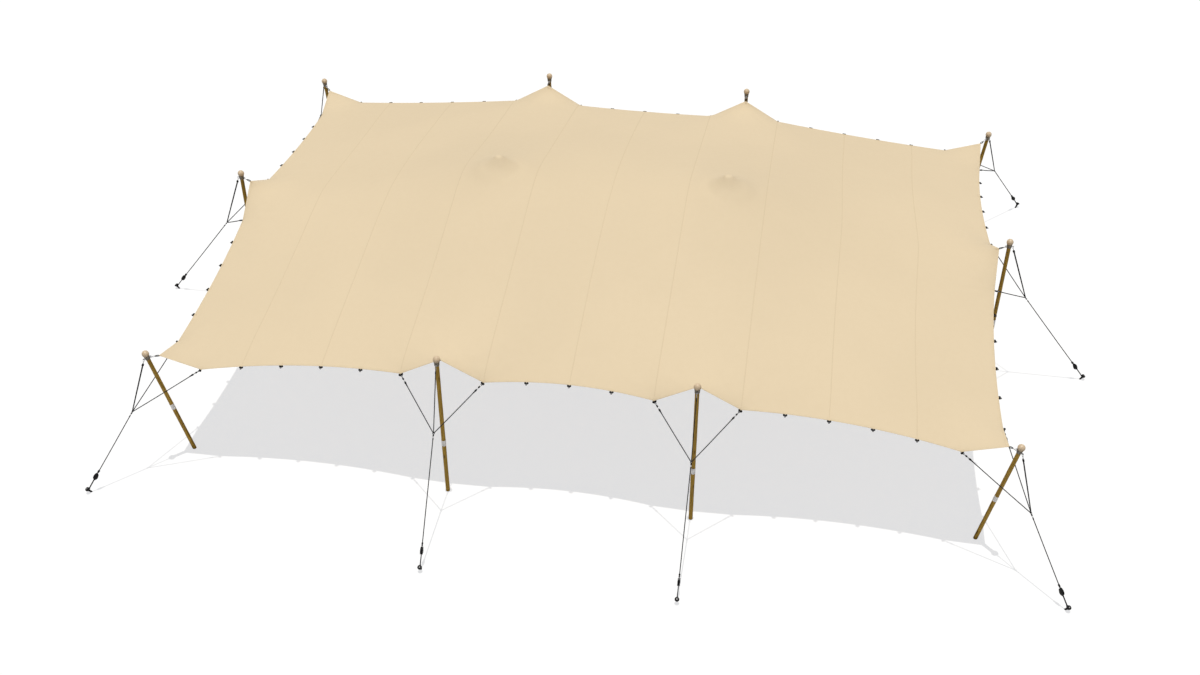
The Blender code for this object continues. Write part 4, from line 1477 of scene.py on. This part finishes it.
def driveStakes():
    look = stakeLook
    shape = Shape()
    for seed, post in enumerate(posts):
        axis = post["stakeAxis"]
        reach = post["stake"].z / axis.z
        half, rim, shaft = look["thick"] / 2, look["head"], look["shaft"]
        profile = [(0.0, -reach), (shaft, -reach), (shaft, -half - 0.006), (shaft + 0.004, -half - 0.001), (rim - 0.006, -half),
                   (rim - 0.001, -half + 0.003), (rim, -half + 0.008), (rim, half - 0.014), (rim - 0.002, half - 0.009),
                   (rim - 0.007, half - 0.006), (0.0205, half - 0.0055), (0.0190, half - 0.0075), (0.0165, half - 0.0070),
                   (0.0150, half - 0.0030), (0.0110, half - 0.0008), (0.0050, half), (0.0, half)]
        local, faces = turnedRings(profile, 28)
        world = moved(frameOf(post["stake"], axis), local)
        slide = local[:, 2] < -reach + 0.001
        world[slide] -= np.array(axis)[None, :] * (world[slide][:, 2] / axis.z)[:, None]
        shape.add(world, faces, local, seed * 0.41)
    return pieceFrom("groundStakes", shape.mesh("groundStakes"), stakeFinish,
                     nodes=["stake_" + post["name"] for post in posts])


print("stakes")
groundStakes = driveStakes()


# ---- centre pole heads

def domeHeads():
    look = centreLook
    dome, collar = Shape(), Shape()
    names = []
    for seed, name in enumerate(("left", "right")):
        low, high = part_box("centre_pole_head_" + name)
        centre = Vector(((low.x + high.x) / 2, 0.0, low.z))
        rim = look["height"] * 0.35
        profile = [(0.0, 0.0), (0.048, 0.0), (0.052, 0.002), (look["radius"] - 0.002, rim - 0.004), (look["radius"], rim)]
        for k in range(1, 12):
            turn = math.radians(90 * k / 12)
            profile.append((look["radius"] * math.cos(turn), rim + (look["height"] - rim) * math.sin(turn)))
        profile.append((0.0, look["height"]))
        local, faces = turnedRings(profile, 48)
        dome.add(local + np.array(centre), faces, local, seed * 0.5)
        profile = [(0.0370, -0.0006), (0.050, -0.0006), (0.0515, -0.003), (0.0515, -0.010), (0.0490, -0.013),
                   (0.0455, -0.018), (0.0435, -0.040), (0.0425, -0.080), (0.0415, -0.083), (0.0370, -0.083)]
        local, faces = turnedRings(profile, 36)
        last = len(local) - 36
        faces += [(k, last + k, last + (k + 1) % 36, (k + 1) % 36) for k in range(36)]
        collar.add(local + np.array(centre), faces, local, seed * 0.5)
        names.append("centre_pole_head_" + name)
    heads = pieceFrom("centreDomes", dome.mesh("centreDomes"), ballFinish, nodes=names)
    rings = pieceFrom("centreCollars", collar.mesh("centreCollars"), collarFinish)
    return heads, rings


print("centre pole heads")
centreDomes, centreCollars = domeHeads()

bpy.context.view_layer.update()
total = 0
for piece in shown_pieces():
    if piece.type == "MESH":
        count = sum(len(face.vertices) - 2 for face in piece.data.polygons)
        total += count
        print(piece.name, count)
print("triangles", total)
